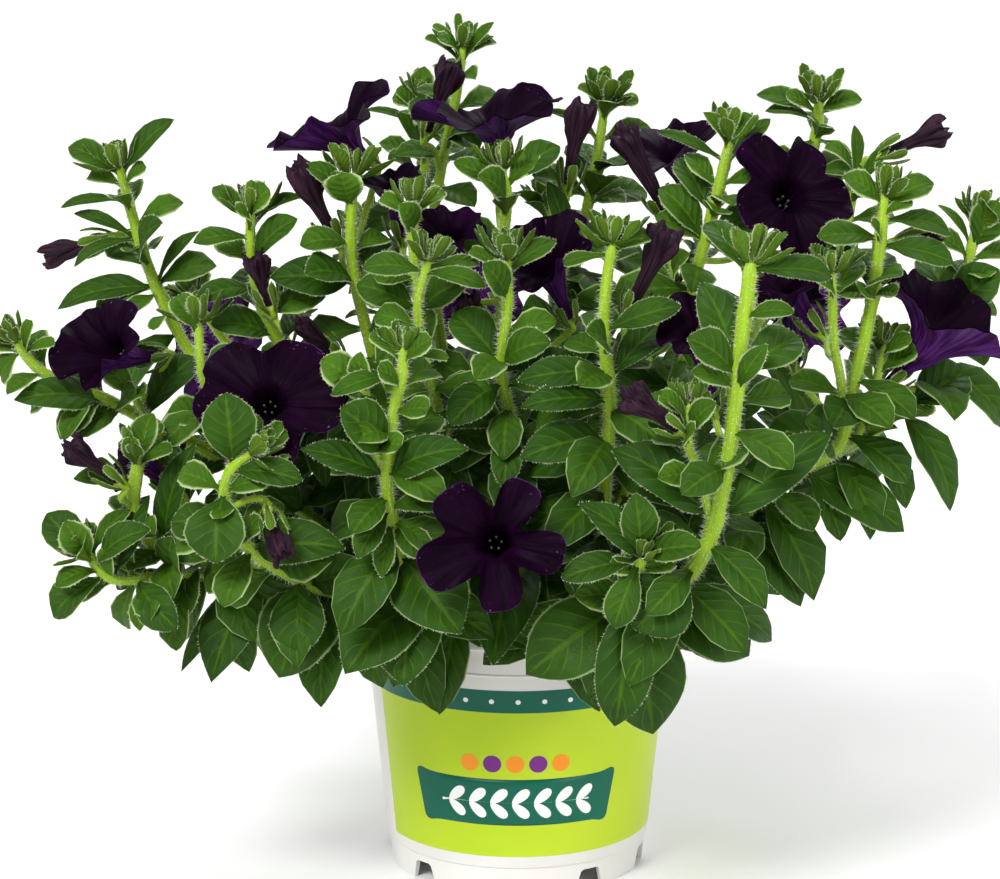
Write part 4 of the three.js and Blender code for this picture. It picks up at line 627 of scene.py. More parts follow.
def pair_leaves(stem):
    """The leaves that the CAD part places by rule, few where others have places of their own."""
    if stem.leaves:
        found = leaf_pairs(stem, SPARSE_PAIRS, SPARSE_START, stem.bare, SPARSE_INTERNODE)
    else:
        found = leaf_pairs(stem, PAIRS, DENSE_START, stem.bare, INTERNODE)
    return [leaf for _, _, leaf in found]


def tuft_tips(stem, turn, scale):
    """The foot of a stem's tuft, the tips of its leaves, and the corners they have in the CAD."""
    point, direction = stem.at(stem.last)
    foot = point + direction * 0.6

    def star(count, length, slant, shift, blunt):
        tips, ends = [], []
        for i in range(count):
            angle = stem.seed + turn + shift + i / count * TURN
            long = length * scale * between(0.86, 1.14, stem.seed, TUFT_KEY + count * 10 + i)
            tips.append(foot + slanted(direction, angle, slant) * long)
            ends += [foot + slanted(direction, angle + side, slant) * long
                     for side in ((-blunt, blunt) if blunt else (0,))]
        return tips, ends

    inner, ends = star(TUFT_INNER_COUNT, TUFT_INNER_LENGTH * stem.head, TUFT_INNER_SLANT, 0.5, 0)
    if stem.crowded:
        return foot, [], inner, ends
    outer, more = star(TUFT_COUNT, TUFT_LENGTH * stem.head, TUFT_SLANT, 0, TUFT_BLUNT)
    return foot, outer, inner, ends + more


# What the CAD part holds of each shoot

CORNER_MATCH = 0.05


class Corners:
    """The corners of a CAD node, to look up which leaves it has."""

    def __init__(self, node):
        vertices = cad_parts[node].data.vertices
        self.tree = kdtree.KDTree(len(vertices))
        for i, v in enumerate(vertices):
            self.tree.insert(v.co / MM, i)
        self.tree.balance()

    def has(self, points):
        """How many of the points are corners of the node."""
        return sum(self.tree.find(Vector(p))[2] < CORNER_MATCH for p in points)


def found_leaf(corners, leaf):
    """The leaf as the CAD part has it, turned as it was there, or None if it has none."""
    best, most = None, 1
    for attempt in TRIES:
        candidate = leaf.turned(*attempt)
        count = corners.has(candidate.shoulders())
        if count > most:
            best, most = candidate, count
    return best


def found_tuft(corners, stem):
    """The tuft as the CAD part has it, or None if it has none."""
    tries = [tuft_tips(stem, *attempt) for attempt in TUFT_TRIES]
    counts = [corners.has(ends) for *_, ends in tries]
    return tries[counts.index(max(counts))][:3] if max(counts) else None


# Meshes are gathered as arrays of points and faces, and made in one go

class Sink:
    """Gathers points and faces. Each point has a map place and a tone, each face a material."""

    def __init__(self):
        self.points, self.maps, self.tones, self.faces, self.kinds = [], [], [], [], []
        self.count = 0

    def add(self, points, faces, kind, maps=None, tone=0.5):
        points = np.asarray(points, float)
        n = len(points)
        self.points.append(points)
        self.maps.append(np.zeros((n, 2)) if maps is None else np.asarray(maps, float))
        self.tones.append(np.broadcast_to(np.asarray(tone, float), (n,)))
        for block in faces if isinstance(faces, list) else [faces]:
            block = np.asarray(block) + self.count
            self.faces.append(block)
            self.kinds.append(np.full(len(block), kind))
        self.count += n

    def make(self, name, materials):
        mesh = bpy.data.meshes.new(name)
        faces = [face for block in self.faces for face in block.tolist()]
        mesh.from_pydata((np.concatenate(self.points) * MM).tolist(), [], faces)
        for material in materials:
            mesh.materials.append(material)
        mesh.polygons.foreach_set("material_index", np.concatenate(self.kinds).astype(np.int32))
        mesh.polygons.foreach_set("use_smooth", np.ones(len(faces), bool))
        corner = np.empty(len(mesh.loops), np.int32)
        mesh.loops.foreach_get("vertex_index", corner)
        layer = mesh.uv_layers.new(name="map")
        layer.data.foreach_set("uv", np.concatenate(self.maps)[corner].astype(np.float32).ravel())
        tone = mesh.attributes.new("tone", "FLOAT", "POINT")
        tone.data.foreach_set("value", np.concatenate(self.tones).astype(np.float32))
        mesh.update()
        piece = bpy.data.objects.new(name, mesh)
        bpy.context.scene.collection.objects.link(piece)
        return piece


def grid_faces(rows, cols, closed=False):
    """Four-sided faces of a grid of points, row by row. Closed joins the last column to the first."""
    r = np.arange(rows - 1)[:, None]
    c = np.arange(cols if closed else cols - 1)[None, :]
    d = (c + 1) % cols
    a, b = r * cols + c, r * cols + d
    e, f = (r + 1) * cols + d, (r + 1) * cols + c
    return np.stack([a, b, e, f], -1).reshape(-1, 4)


def rings_mesh(sink, rings, kind, tone=0.5):
    """Closed rings of equal count, joined one to the next, each end closed."""
    rings = np.asarray(rings)
    rows, cols = rings.shape[:2]
    maps = round_map(cols, np.linspace(0, 1, rows))
    tones = np.broadcast_to(np.asarray(tone, float), (rows * cols,))
    points = np.concatenate([rings.reshape(-1, 3), [rings[0].mean(0), rings[-1].mean(0)]])
    i = np.arange(cols)
    j = (i + 1) % cols
    first, last, base = rows * cols, rows * cols + 1, (rows - 1) * cols
    faces = [grid_faces(rows, cols, closed=True),
             np.stack([j, i, np.full(cols, first)], -1),
             np.stack([base + i, base + j, np.full(cols, last)], -1)]
    sink.add(points, faces, kind, np.concatenate([maps, maps[[0, -1]]]),
             np.concatenate([tones, tones[[0, -1]]]))


def hairs(sink, roots, directions, lengths, tone):
    """Fine three-sided spikes that stand on their roots."""
    helper = np.where(np.abs(directions[:, 2:3]) < 0.9, [[0, 0, 1.0]], [[1.0, 0, 0]])
    side = unit_rows(np.cross(directions, helper))
    across = np.cross(directions, side)
    corners = [roots + HAIR_WIDTH * (side * math.cos(a) + across * math.sin(a))
               for a in (0, TURN / 3, TURN * 2 / 3)]
    tips = roots + directions * lengths[:, None]
    points = np.stack([*corners, tips], 1).reshape(-1, 3)
    k = np.arange(len(roots))[:, None] * 4
    faces = np.concatenate([k + [0, 1, 3], k + [1, 2, 3], k + [2, 0, 3]])
    sink.add(points, faces, HAIR, None, tone)


# Fine leaves, stems and flowers

# Which of a shoot's looks a face has
UPPER, UNDER, GREEN, HAIR = 0, 1, 2, 3
# Turns a four-sided face over, and keeps the diagonal that splits it
SAME_DIAGONAL = [0, 3, 2, 1]
# Starts a face at its next corner, which splits it along its other diagonal
OTHER_DIAGONAL = [1, 2, 3, 0]
LEAF_COLUMNS = np.array([-1, -0.72, -0.3, 0, 0.3, 0.72, 1])
EDGE_WAVE, CROWN = 0.1, 0.2             # shares of half the leaf's width
EDGE_WAVES = 9                          # radians from foot to tip
BLADE_THICKNESS, RIB_THICKNESS, RIB_WIDTH = 0.28, 0.55, 0.13
DROOP_START = 0.55
HAIR_STEP, HAIR_WIDTH, HAIR_SEEDS = 0.7, 0.07, 7919
STEM_HAIRS_PER_MM, STALK_HAIRS_PER_MM = 13, 7


def fine_leaf(sink, leaf, seed, key, rows=11, hair=0.8, curl=0.05):
    """A thin blade with a sunk midrib, a waved edge and a fringe of hairs."""
    u = 0.5 - 0.5 * np.cos(np.linspace(0, math.pi, rows))
    v = LEAF_COLUMNS[None, :, None]
    half = leaf.fine_half(u)
    half[-1] = 0
    along, wide = u[:, None, None], half[:, None, None]
    n = leaf.normal(u)[:, None, :]
    lift = np.maximum(leaf.fold * half, 0.15)[:, None, None]
    wave = EDGE_WAVE * wide * v ** 2 * np.sin(EDGE_WAVES * along + phase(seed, key + 7) + 1.7 * v)
    crown = CROWN * wide * np.sin(math.pi * np.abs(v))
    droop = -curl * leaf.length * np.clip(along - DROOP_START, 0, 1) ** 2 * 4
    top = (leaf.rib(u)[:, None, :] + leaf.side * wide * v
           + n * (lift * np.abs(v) ** 1.5 + wave + crown + droop))
    thick = BLADE_THICKNESS + RIB_THICKNESS * np.exp(-(v / RIB_WIDTH) ** 2) * (1 - along) ** 0.5
    bottom = top - n * thick * (1 - v ** 4)
    cols = len(LEAF_COLUMNS)
    maps = np.stack(np.broadcast_arrays(u[:, None], LEAF_COLUMNS[None, :]), -1).reshape(-1, 2)
    faces = grid_faces(rows, cols)
    sink.add(top.reshape(-1, 3), faces[:, SAME_DIAGONAL], UPPER, maps, leaf.tone)
    sink.add(bottom.reshape(-1, 3), faces, UNDER, maps, leaf.tone)
    if hair:
        fringe(sink, leaf, top, seed, key, hair)


def fringe(sink, leaf, top, seed, key, hair):
    """Hairs along both edges of a leaf."""
    rng = np.random.default_rng(seed * HAIR_SEEDS + key)
    for edge, sign in ((top[:, 0], -1), (top[:, -1], 1)):
        place, _ = along(edge)
        count = int(place[-1] / HAIR_STEP)
        if count < 2:
            continue
        at = np.sort(rng.random(count)) * place[-1]
        roots = np.stack([np.interp(at, place, edge[:, k]) for k in range(3)], -1)
        out = (leaf.side * sign + leaf.forward * rng.uniform(0.1, 0.7, (count, 1))
               + leaf.face * rng.uniform(-0.4, 0.5, (count, 1)))
        hairs(sink, roots, unit_rows(out), hair * rng.uniform(0.6, 1.2, count), leaf.tone)


def tube_rings(points, radii, sides):
    """Rings of points round a line, without twist."""
    ahead = unit_rows(np.gradient(points, axis=0))
    side = np.array([0.3, 1, 0.2])
    angle = circle(sides)
    rings = []
    for p, d, r in zip(points, ahead, radii):
        side = unit(side - d * (side @ d))
        across = np.cross(d, side)
        rings.append(p + r * (np.cos(angle)[:, None] * side + np.sin(angle)[:, None] * across))
    return np.array(rings)


def hairy_tube(sink, points, radii, sides, tone, seed, density, hair=2.0):
    """A round tube along a line, with hairs all over: so many to a millimetre, so long."""
    points = np.asarray(points)
    rings = tube_rings(points, radii, sides)
    rings_mesh(sink, rings, GREEN, tone)
    rng = np.random.default_rng(seed)
    place, steps = along(points)
    count = int(place[-1] * density)
    at = rng.random(count) * place[-1]
    index = np.minimum(np.searchsorted(place, at, side="right") - 1, len(points) - 2)
    share = ((at - place[index]) / np.maximum(steps[index], 1e-6))[:, None]
    column = rng.integers(0, sides, count)
    roots = rings[index, column] * (1 - share) + rings[index + 1, column] * share
    centre = points[index] * (1 - share) + points[index + 1] * share
    out = unit_rows(roots - centre) + rng.normal(0, 0.3, (count, 3))
    hairs(sink, roots, unit_rows(out), hair * rng.uniform(0.5, 1.25, count), 0.8)


# The rest of a shoot: its smooth stems, young leaves, flower stalks and calyxes


STEM_SIDES = 12
STEM_ROWS = 6               # rings of the fine stem from knot to knot
STEM_FULLNESS = 1.05
SWELL, SWELL_LENGTH, MOST_SWELL = 0.16, 0.12, 0.22
TIP_START, TIP_NARROWING = 0.86, 0.35
FOOT_TONE, TIP_TONE = 0.35, 0.85


def add_stem(sink, stem):
    """A smooth round stem, thicker at each pair of leaves, with its hairs."""
    at = np.linspace(0, stem.last, stem.last * STEM_ROWS + 1)
    points = [stem.smooth(a) for a in at]
    share = at / stem.last
    radii = STEM_FULLNESS * (stem.radii[0] * (1 - share) + stem.radii[1] * share)
    swell = sum(SWELL * np.exp(-((at - leaf[0]) / SWELL_LENGTH) ** 2) for leaf in stem.leaves)
    near_tip = np.clip((share - TIP_START) / (1 - TIP_START), 0, 1)
    radii = radii * (1 + np.minimum(swell, MOST_SWELL)) * (1 - TIP_NARROWING * near_tip ** 2)
    tones = np.repeat(FOOT_TONE + (TIP_TONE - FOOT_TONE) * share, STEM_SIDES)
    hairy_tube(sink, points, radii, STEM_SIDES, tones, stem.seed, STEM_HAIRS_PER_MM)


def shifted(stem, leaf):
    """A leaf with its foot moved from the straight stretch onto the smooth stem."""
    base = leaf.base + stem.smooth(leaf.at) - stem.at(leaf.at)[0]
    return leaf.moved(base, leaf.tip, leaf.width)


# Young leaves, ring by ring towards the middle: how many, their length, slant and tone
YOUNG_RINGS = [(2, 15.0, 1.2, 0.45), (4, 12.8, 0.78, 0.6), (3, 10.5, 0.45, 0.7), (3, 7.5, 0.25, 0.8)]
RING_TURN = 1.1
# Breadth, as a share of the length, and tone of the tuft's outer and inner leaves
OUTER_LEAF, INNER_LEAF, YOUNG_BREADTH = (0.5, 0.4), (0.42, 0.55), 0.4
YOUNG_TURN_KEY, YOUNG_LENGTH_KEY, YOUNG_BEND_KEY, YOUNG_KEY = 4100, 4200, 4300, 4400


def add_tuft(sink, stem, tuft):
    """The rosette of young leaves at a stem's tip: those of the CAD part, and smaller ones inside."""
    foot, outer, inner = tuft
    direction = stem.at(stem.last)[1]
    leaves = [(tip, *OUTER_LEAF) for tip in outer] + [(tip, *INNER_LEAF) for tip in inner]
    turn = phase(stem.seed, YOUNG_TURN_KEY)
    for ring, (count, length, slant, tone) in enumerate(YOUNG_RINGS):
        for i in range(count):
            angle = turn + RING_TURN * ring + i * TURN / count
            long = length * stem.head * between(0.85, 1.15, stem.seed, YOUNG_LENGTH_KEY + ring * 20 + i)
            leaves.append((foot + slanted(direction, angle, slant) * long, YOUNG_BREADTH, tone))
    for k, (tip, breadth, tone) in enumerate(leaves):
        reach = tip - foot
        length = np.linalg.norm(reach)
        across = reach - direction * (reach @ direction)
        base = foot + across / max(np.linalg.norm(across), 1e-6) * LEAF_ROOT - direction * 1.4
        bend = -between(0.1, 0.2, stem.seed, YOUNG_BEND_KEY + k)
        leaf = Leaf(base, tip, breadth * length, direction - unit(reach) * 0.2, bend, 0.32, tone)
        fine_leaf(sink, leaf, stem.seed, YOUNG_KEY + k, rows=7, hair=0.75, curl=0.09)


class Flower:
    """A flower on a middle line that runs from its calyx to the middle of its mouth."""

    def __init__(self, name, stem, at, via, base, mouth, facing, diameter, throat=THROAT):
        self.name, self.stem, self.at, self.via = name, stem, at, vec(*via)
        self.base, self.mouth, self.facing = vec(*base), vec(*mouth), unit(vec(*facing))
        self.radius, self.throat = diameter / 2, throat
        self.open = name.startswith("bloom")
        self.reach = float(np.linalg.norm(self.base - self.mouth))
        self.bend = self.mouth - self.facing * 0.45 * self.reach
        self.start = unit(self.bend - self.base)
        self.seed = sum(ord(c) * (i + 3) for i, c in enumerate(name))

    def point(self, t):
        return (self.base * (1 - t) ** 2 + 2 * self.bend * t * (1 - t) + self.mouth * t * t)

    def direction(self, t):
        return unit(2 * (1 - t) * (self.bend - self.base) + 2 * t * (self.mouth - self.bend))


def around(axis):
    """Two directions at right angles to an axis, the same as in the CAD part."""
    side = unit(np.cross(vec(0.2, 0.3, 1), axis))
    return side, np.cross(axis, side)


def ring(centre, axis, angles, radius, lift=0.0):
    """Points round an axis, at a radius and lifted along the axis, each one number or many."""
    side, across = around(axis)
    radius = np.broadcast_to(np.asarray(radius, float), angles.shape)
    lift = np.broadcast_to(np.asarray(lift, float), angles.shape)
    return (centre + (radius * np.cos(angles))[:, None] * side
            + (radius * np.sin(angles))[:, None] * across + lift[:, None] * axis)


STALK_SIDES = 9
STALK_ROWS = 14
CALYX_SHARES, CALYX_RADII = (0.3, 0.65, 1.0), (1.7, 2.1, 2.2)
SEPAL_COUNT, SEPAL_WIDTH, SEPAL_FOOT = 5, 3.6, 2.2


def add_stalk(sink, flower, stem):
    """A hairy stalk from the stem to the calyx, with five narrow sepals."""
    foot = flower.base - flower.start * CALYX_LENGTH
    path = Curve([stem.smooth(flower.at), flower.via, foot])
    points = [path.point(t) for t in np.linspace(0, 1, STALK_ROWS)]
    points += [foot + flower.start * CALYX_LENGTH * s for s in CALYX_SHARES]
    radii = [STALK_RADIUS * 0.95] * STALK_ROWS + list(CALYX_RADII)
    hairy_tube(sink, points, radii, STALK_SIDES, 0.7, flower.seed, STALK_HAIRS_PER_MM, 0.9)
    start = foot + flower.start * SEPAL_FOOT
    bases = ring(start, flower.start, circle(SEPAL_COUNT), 1.2)
    tips = ring(flower.base, flower.start, circle(SEPAL_COUNT), SEPAL_SPREAD, SEPAL_REACH)
    for k, (base, tip) in enumerate(zip(bases, tips)):
        leaf = Leaf(base, tip, SEPAL_WIDTH, flower.start * 0.3 - unit(base - start), -0.1, 0.2,
                    between(0.55, 0.75, flower.seed, k))
        fine_leaf(sink, leaf, flower.seed, 50 + k, rows=8, hair=0.7, curl=0.0)


FILLER_STEP = 10
FILLER_START = 9
FILLER_FOOT, FILLER_BRANCH = 34, 6      # bare length at the foot of a rooted stem and of a fork
HAIRY_LEVELS = 2
FILLER_TONE_KEY = 400


def add_filler(sink, stem):
    """Smaller leaves in pairs at the joints that the larger leaves leave bare."""
    bare = FILLER_FOOT if stem.rooted else FILLER_BRANCH
    for level, key, leaf in leaf_pairs(stem, FILLERS, FILLER_START * stem.head, bare, FILLER_STEP):
        leaf.tone = (max(0.1, 0.62 - 0.07 * level)
                     + between(-0.075, 0.075, stem.seed, key + FILLER_TONE_KEY))
        if clear_of(leaf):
            fine_leaf(sink, shifted(stem, leaf), stem.seed, key, rows=8,
                      hair=0.6 if level < HAIRY_LEVELS else 0)


FLOWER_CLEARANCE = 3.5      # from a small leaf to the points of the flowers
BOX_CLEARANCE = 4           # how far small leaves may stand out of the CAD part's box
POT_CLEARANCE = 1.5
POT_TOP = 104


def clear_of(leaf):
    """Whether a leaf stays out of the flowers, the pot and the space beyond the CAD part."""
    middle, edge = leaf.rib([0.6]), leaf.side * leaf.width / 2
    points = np.concatenate([leaf.rib([0.35, 0.6, 0.8, 1.0]), middle + edge, middle - edge])
    low, high = np.array(cad_box) / MM
    if np.any(points < low - BOX_CLEARANCE) or np.any(points > high + BOX_CLEARANCE):
        return False
    radius = np.hypot(points[:, 0], points[:, 1])
    if np.any((points[:, 2] < POT_TOP) & (radius < RIM_RADIUS + POT_CLEARANCE)):
        return False
    if hides_flower(points):
        return False
    return all(bloom_tree.find(Vector(p))[2] > FLOWER_CLEARANCE for p in points)


# Flowers

# Which of a flower's looks a face has
PETAL, VELVET, ANTHER = 0, 1, 2
PETAL_SIDES = 80
PETAL_COUNT = 5
PETAL_THICKNESS = 0.4
LARGEST_THROAT = 7
TUBE_PLACES = (0.12, 0.26, 0.42, 0.58, 0.75, 0.9, 1)
LIMB_PLACES = [0.12, 0.25, 0.38, 0.5, 0.62, 0.73, 0.83, 0.92, 1.0]
THROAT_PLACES = (1, 0.87, 0.7, 0.53)
ANTHER_PLACE = 0.8


NOTCH_DEPTH = 0.24
DEEP_NOTCHES = {"bloom_front": 0.45, "bloom_left_front": 0.3, "bloom_right_top": 0.36}


def lobes(flower, angles):
    """Five lobes, full in the middle of each, drawn in at the notches, no two alike."""
    dip = (0.5 - 0.5 * np.cos(PETAL_COUNT * angles)) ** 3
    notch = (angles * PETAL_COUNT / TURN).astype(int)
    depths = np.array([between(0.6, 1.4, flower.seed, 20 + k) for k in range(PETAL_COUNT)])
    return 1 - DEEP_NOTCHES.get(flower.name, NOTCH_DEPTH) * dip * depths[notch]


def limb_rings(flower, angles, throat, places, inset=0.0):
    """The flared part of the funnel, from its throat to its ruffled rim."""
    radius, start = flower.radius, flower.throat
    phases = [phase(flower.seed, k) for k in range(7)]

    def waves(*terms):
        return sum(share * np.sin(count * angles + phases[k]) for share, count, k in terms)

    uneven = 1 + waves((0.07, 1, 4), (0.05, 2, 5))
    crease = np.exp(-(np.abs(np.sin(PETAL_COUNT / 2 * angles)) / 0.16) ** 2)
    ruffles = waves((0.045, 10, 0), (0.018, 17, 1), (0.006, 29, 2))
    folds = waves((0.1, 2, 3), (0.08, 3, 6)) - 0.05 - 0.07 * np.cos(PETAL_COUNT * angles)
    rings = []
    for rho in places:
        t = start + (1 - start) * rho
        r = throat + (radius * lobes(flower, angles) * uneven - throat) * rho ** FLARE_POWER
        lift = radius * (rho ** 2 * folds + rho ** 3 * ruffles
                         - 0.035 * crease * math.sin(math.pi * min(rho * 1.1, 1)))
        rings.append(ring(flower.point(t), flower.direction(t), angles,
                          r - 0.8 * inset, lift + 0.8 * inset))
    return rings


def open_flower(sink, flower):
    """A thin trumpet: its tube and limb outside, back over the rim, and down the throat."""
    angles = circle(PETAL_SIDES)
    throat = min(flower.radius * 0.3, LARGEST_THROAT)
    start = flower.throat
    gap = COROLLA_GAP / flower.reach
    ridge = 1 + 0.045 * np.cos(PETAL_COUNT * angles) + 0.025 * np.cos(3 * PETAL_COUNT * angles)

    def tube(place, sizes):
        size = np.interp(place, [0, 0.5, 1], sizes) * (1 - 0.1 * math.sin(math.pi * min(2 * place, 1)))
        t = start * place
        return ring(flower.point(t), flower.direction(t), angles, size * ridge)

    outer = [tube(place, [1.6, 2.9, throat * 0.98]) for place in (gap / start, *TUBE_PLACES)]
    limb = limb_rings(flower, angles, throat, LIMB_PLACES)
    inner = limb_rings(flower, angles, throat, LIMB_PLACES[:-1], PETAL_THICKNESS)[::-1]
    down = [tube(place, [1.2, 2.3, throat * 0.9]) for place in THROAT_PLACES]
    v = np.concatenate([np.linspace(-1, 0, len(outer)), LIMB_PLACES])
    add_rows(sink, [*outer, *limb], v, PETAL)
    edge = limb[-1] * 0.985 + flower.mouth * 0.015 + flower.facing * PETAL_THICKNESS * 0.8
    v = np.concatenate([[1.0], LIMB_PLACES[-2::-1], [0, -0.2, -0.4, -0.6]])
    add_rows(sink, [edge, *inner, *down], v, VELVET, OTHER_DIAGONAL)
    deep = start * ANTHER_PLACE
    axis = flower.direction(deep)
    for centre in ring(flower.point(deep), axis, circle(PETAL_COUNT) + 0.4, throat * 0.3):
        anther(sink, centre, axis)


def add_rows(sink, rows, v, kind, corners=(0, 1, 2, 3)):
    """Rings of a petal tube, joined one to the next. v is each ring's place on the map."""
    rows = np.asarray(rows)
    count, cols = rows.shape[:2]
    faces = grid_faces(count, cols, closed=True)[:, list(corners)]
    sink.add(rows.reshape(-1, 3), faces, kind, round_map(cols, v))


def anther(sink, centre, axis):
    """A pale oval pollen sac on a short thread."""
    angles = circle(8)
    rings = [ring(centre, axis, angles, 0.55 * math.sin(a), -0.95 * math.cos(a))
             for a in (0.3, 0.9, 1.57, 2.2, 2.85)]
    rings_mesh(sink, rings, ANTHER)
    thread = [ring(centre - axis * s, axis, angles[::2], 0.18) for s in (6, 3, 0.8)]
    rings_mesh(sink, thread, ANTHER)


FADED_SIDES = 48
FADED_ROWS = 22
FADED_TWIST = 1.4


def faded_flower(sink, flower):
    """A withered tube: deep folds, a twist, and a crumpled mouth drawn in on itself."""
    angles = circle(FADED_SIDES)
    width = flower.radius
    phases = [phase(flower.seed, k) for k in range(6)]
    gap = COROLLA_GAP / flower.reach
    rows = []
    for t in np.concatenate([[gap], np.linspace(0.07, 0.98, FADED_ROWS)]):
        size = np.interp(t, [0, 0.45, 0.93, 1], [1.6, width * 0.47, width * 0.95, width * 0.72])
        deep = min(t * 1.6, 1)
        twist = FADED_TWIST * t
        fold = 1 + deep * (0.2 * np.sin(5 * (angles + twist) + phases[0])
                           + 0.12 * np.sin(9 * angles - twist + phases[1])
                           + 0.06 * np.sin(17 * angles + 9 * t + phases[2]))
        pinch = 1 - 0.12 * deep * math.sin(7 * t + phases[3])
        ragged = deep ** 6 * (1.7 * np.sin(3 * angles + phases[4])
                              + 0.9 * np.sin(11 * angles + phases[5]))
        rows.append(ring(flower.point(t), flower.direction(t), angles, size * fold * pinch, ragged))
    tuck = 1 + 0.3 * np.sin(6 * angles + phases[1])
    for share, back in ((0.6, 0.6), (0.35, 2.0), (0.1, 3.2)):
        rows.append(ring(flower.mouth, flower.facing, angles, width * share * tuck, -back))
    add_rows(sink, rows, np.linspace(0, 1, len(rows)), PETAL)


# Pot

def wall_at(z):
    return POT_BASE_RADIUS + POT_TAPER * z


POT_SIDES = 160
RING_HEIGHT = 85.6
SMOOTH_ANGLE = 32


def lathe(profile):
    """A closed profile of radius and height turned round Z, as a bmesh."""
    bm = bmesh.new()
    angles = circle(POT_SIDES)
    rows = [[bm.verts.new((r * MM * math.cos(a), r * MM * math.sin(a), z * MM)) for a in angles]
            for r, z in profile]
    for lower, upper in zip(rows, rows[1:] + rows[:1]):
        for i in range(POT_SIDES):
            j = (i + 1) % POT_SIDES
            bm.faces.new((lower[i], lower[j], upper[j], upper[i]))
    bmesh.ops.recalc_face_normals(bm, faces=bm.faces)
    return bm


def pot_profile():
    """The pot's section: pad, foot ring, step, wall, rolled rim, and back down inside."""
    skirt = POT_BASE_RADIUS - FOOT_STEP
    step = wall_at(FOOT_HEIGHT)
    rim = wall_at(RIM_BOTTOM)
    floor = POT_WALL
    return [
        (0.5, 0), (PAD_RADIUS, 0), (PAD_RADIUS + PAD_SLOPE, FLOOR_RISE),
        (skirt - POT_WALL, FLOOR_RISE), (skirt - POT_WALL, 0.3), (skirt - 1.2, 0),
        (skirt - 0.3, 0), (skirt, 0.3), (step - FOOT_STEP, FOOT_HEIGHT),
        (step - 0.25, FOOT_HEIGHT + 0.3), (step, FOOT_HEIGHT + 0.8),
        (wall_at(RING_HEIGHT - 0.6), RING_HEIGHT - 0.6),
        (wall_at(RING_HEIGHT) + 0.35, RING_HEIGHT - 0.2),
        (wall_at(RING_HEIGHT) + 0.35, RING_HEIGHT + 0.2),
        (wall_at(RING_HEIGHT + 0.6), RING_HEIGHT + 0.6),
        (rim, RIM_BOTTOM), (rim + 0.5, RIM_BOTTOM + 0.15), (RIM_RADIUS - 0.5, RIM_BOTTOM + 0.5),
        (RIM_RADIUS, RIM_BOTTOM + 1.2), (RIM_RADIUS, POT_HEIGHT - 0.8),
        (RIM_RADIUS - 0.25, POT_HEIGHT - 0.2), (RIM_RADIUS - 0.8, POT_HEIGHT),
        (RIM_RADIUS - 2.0, POT_HEIGHT), (RIM_RADIUS - 2.6, POT_HEIGHT - 0.6),
        (wall_at(floor + FLOOR_RISE) - POT_WALL - FOOT_STEP, floor + FLOOR_RISE),
        (PAD_RADIUS + PAD_SLOPE - 1.2, floor + FLOOR_RISE), (PAD_RADIUS - 1.2, floor), (0.5, floor),
    ]


def added_piece(name, bm):
    """A piece made of a bmesh, put in the scene."""
    mesh = bpy.data.meshes.new(name)
    bm.to_mesh(mesh)
    bm.free()
    piece = bpy.data.objects.new(name, mesh)
    bpy.context.scene.collection.objects.link(piece)
    return piece


def notch_block(bm, degrees):
    """The block that cuts one notch out of the foot ring."""
    half = NOTCH_WIDTH / 2
    outline = [(-half - 1.5, -1), (half + 1.5, -1), (half - 0.5, FLOOR_RISE - 0.8),
               (half - 1.6, FLOOR_RISE), (-half + 1.6, FLOOR_RISE), (-half + 0.5, FLOOR_RISE - 0.8)]
    c, s = math.cos(math.radians(degrees)), math.sin(math.radians(degrees))
    inner, outer = ([bm.verts.new(((x * c - y * s) * MM, (x * s + y * c) * MM, z * MM))
                     for x, z in outline]
                    for y in (-POT_BASE_RADIUS + 5, -POT_BASE_RADIUS - 3))
    n = len(outline)
    for i in range(n):
        j = (i + 1) % n
        bm.faces.new((inner[i], inner[j], outer[j], outer[i]))
    bm.faces.new(inner[::-1])
    bm.faces.new(outer)


def make_pot(material):
    """The pot: a turned shell, with the notches and the drains cut out of it."""
    piece = added_piece("pot_moulded", lathe(pot_profile()))
    cuts = bmesh.new()
    for degrees in NOTCH_ANGLES:
        notch_block(cuts, degrees)
    for k in range(DRAIN_COUNT):
        angle = (k + 0.5) / DRAIN_COUNT * TURN
        made = bmesh.ops.create_cone(
            cuts, cap_ends=True, segments=32, radius1=DRAIN_RADIUS * MM, radius2=DRAIN_RADIUS * MM,
            depth=8 * MM)
        bmesh.ops.translate(cuts, verts=made["verts"], vec=(
            DRAIN_PLACE * math.cos(angle) * MM, DRAIN_PLACE * math.sin(angle) * MM, FLOOR_RISE * MM))
    bmesh.ops.recalc_face_normals(cuts, faces=cuts.faces)
    block = added_piece("pot_cuts", cuts)
    change = piece.modifiers.new("cuts", "BOOLEAN")
    change.object, change.operation, change.solver = block, "DIFFERENCE", "EXACT"
    bpy.context.view_layer.update()
    cut = bpy.data.meshes.new_from_object(piece.evaluated_get(bpy.context.evaluated_depsgraph_get()))
    piece.modifiers.clear()
    piece.data = cut
    bpy.data.objects.remove(block)
    cut.materials.clear()
    cut.materials.append(material)
    cut.polygons.foreach_set("use_smooth", np.ones(len(cut.polygons), bool))
    cut.set_sharp_from_angle(angle=math.radians(SMOOTH_ANGLE))
    return piece


# Print on the pot: flat shapes laid just over the wall. Each has its place round the wall from the
# front towards +X, in millimetres but for the two ends of the field in degrees, and its height.

PRINT_LIFT = 0.06
FIELD_FROM, FIELD_TO = -66, 232
FIELD_LOW, FIELD_HIGH = 15.1, 71.4
BAND_TOP = 80
MID_HEIGHT = 40

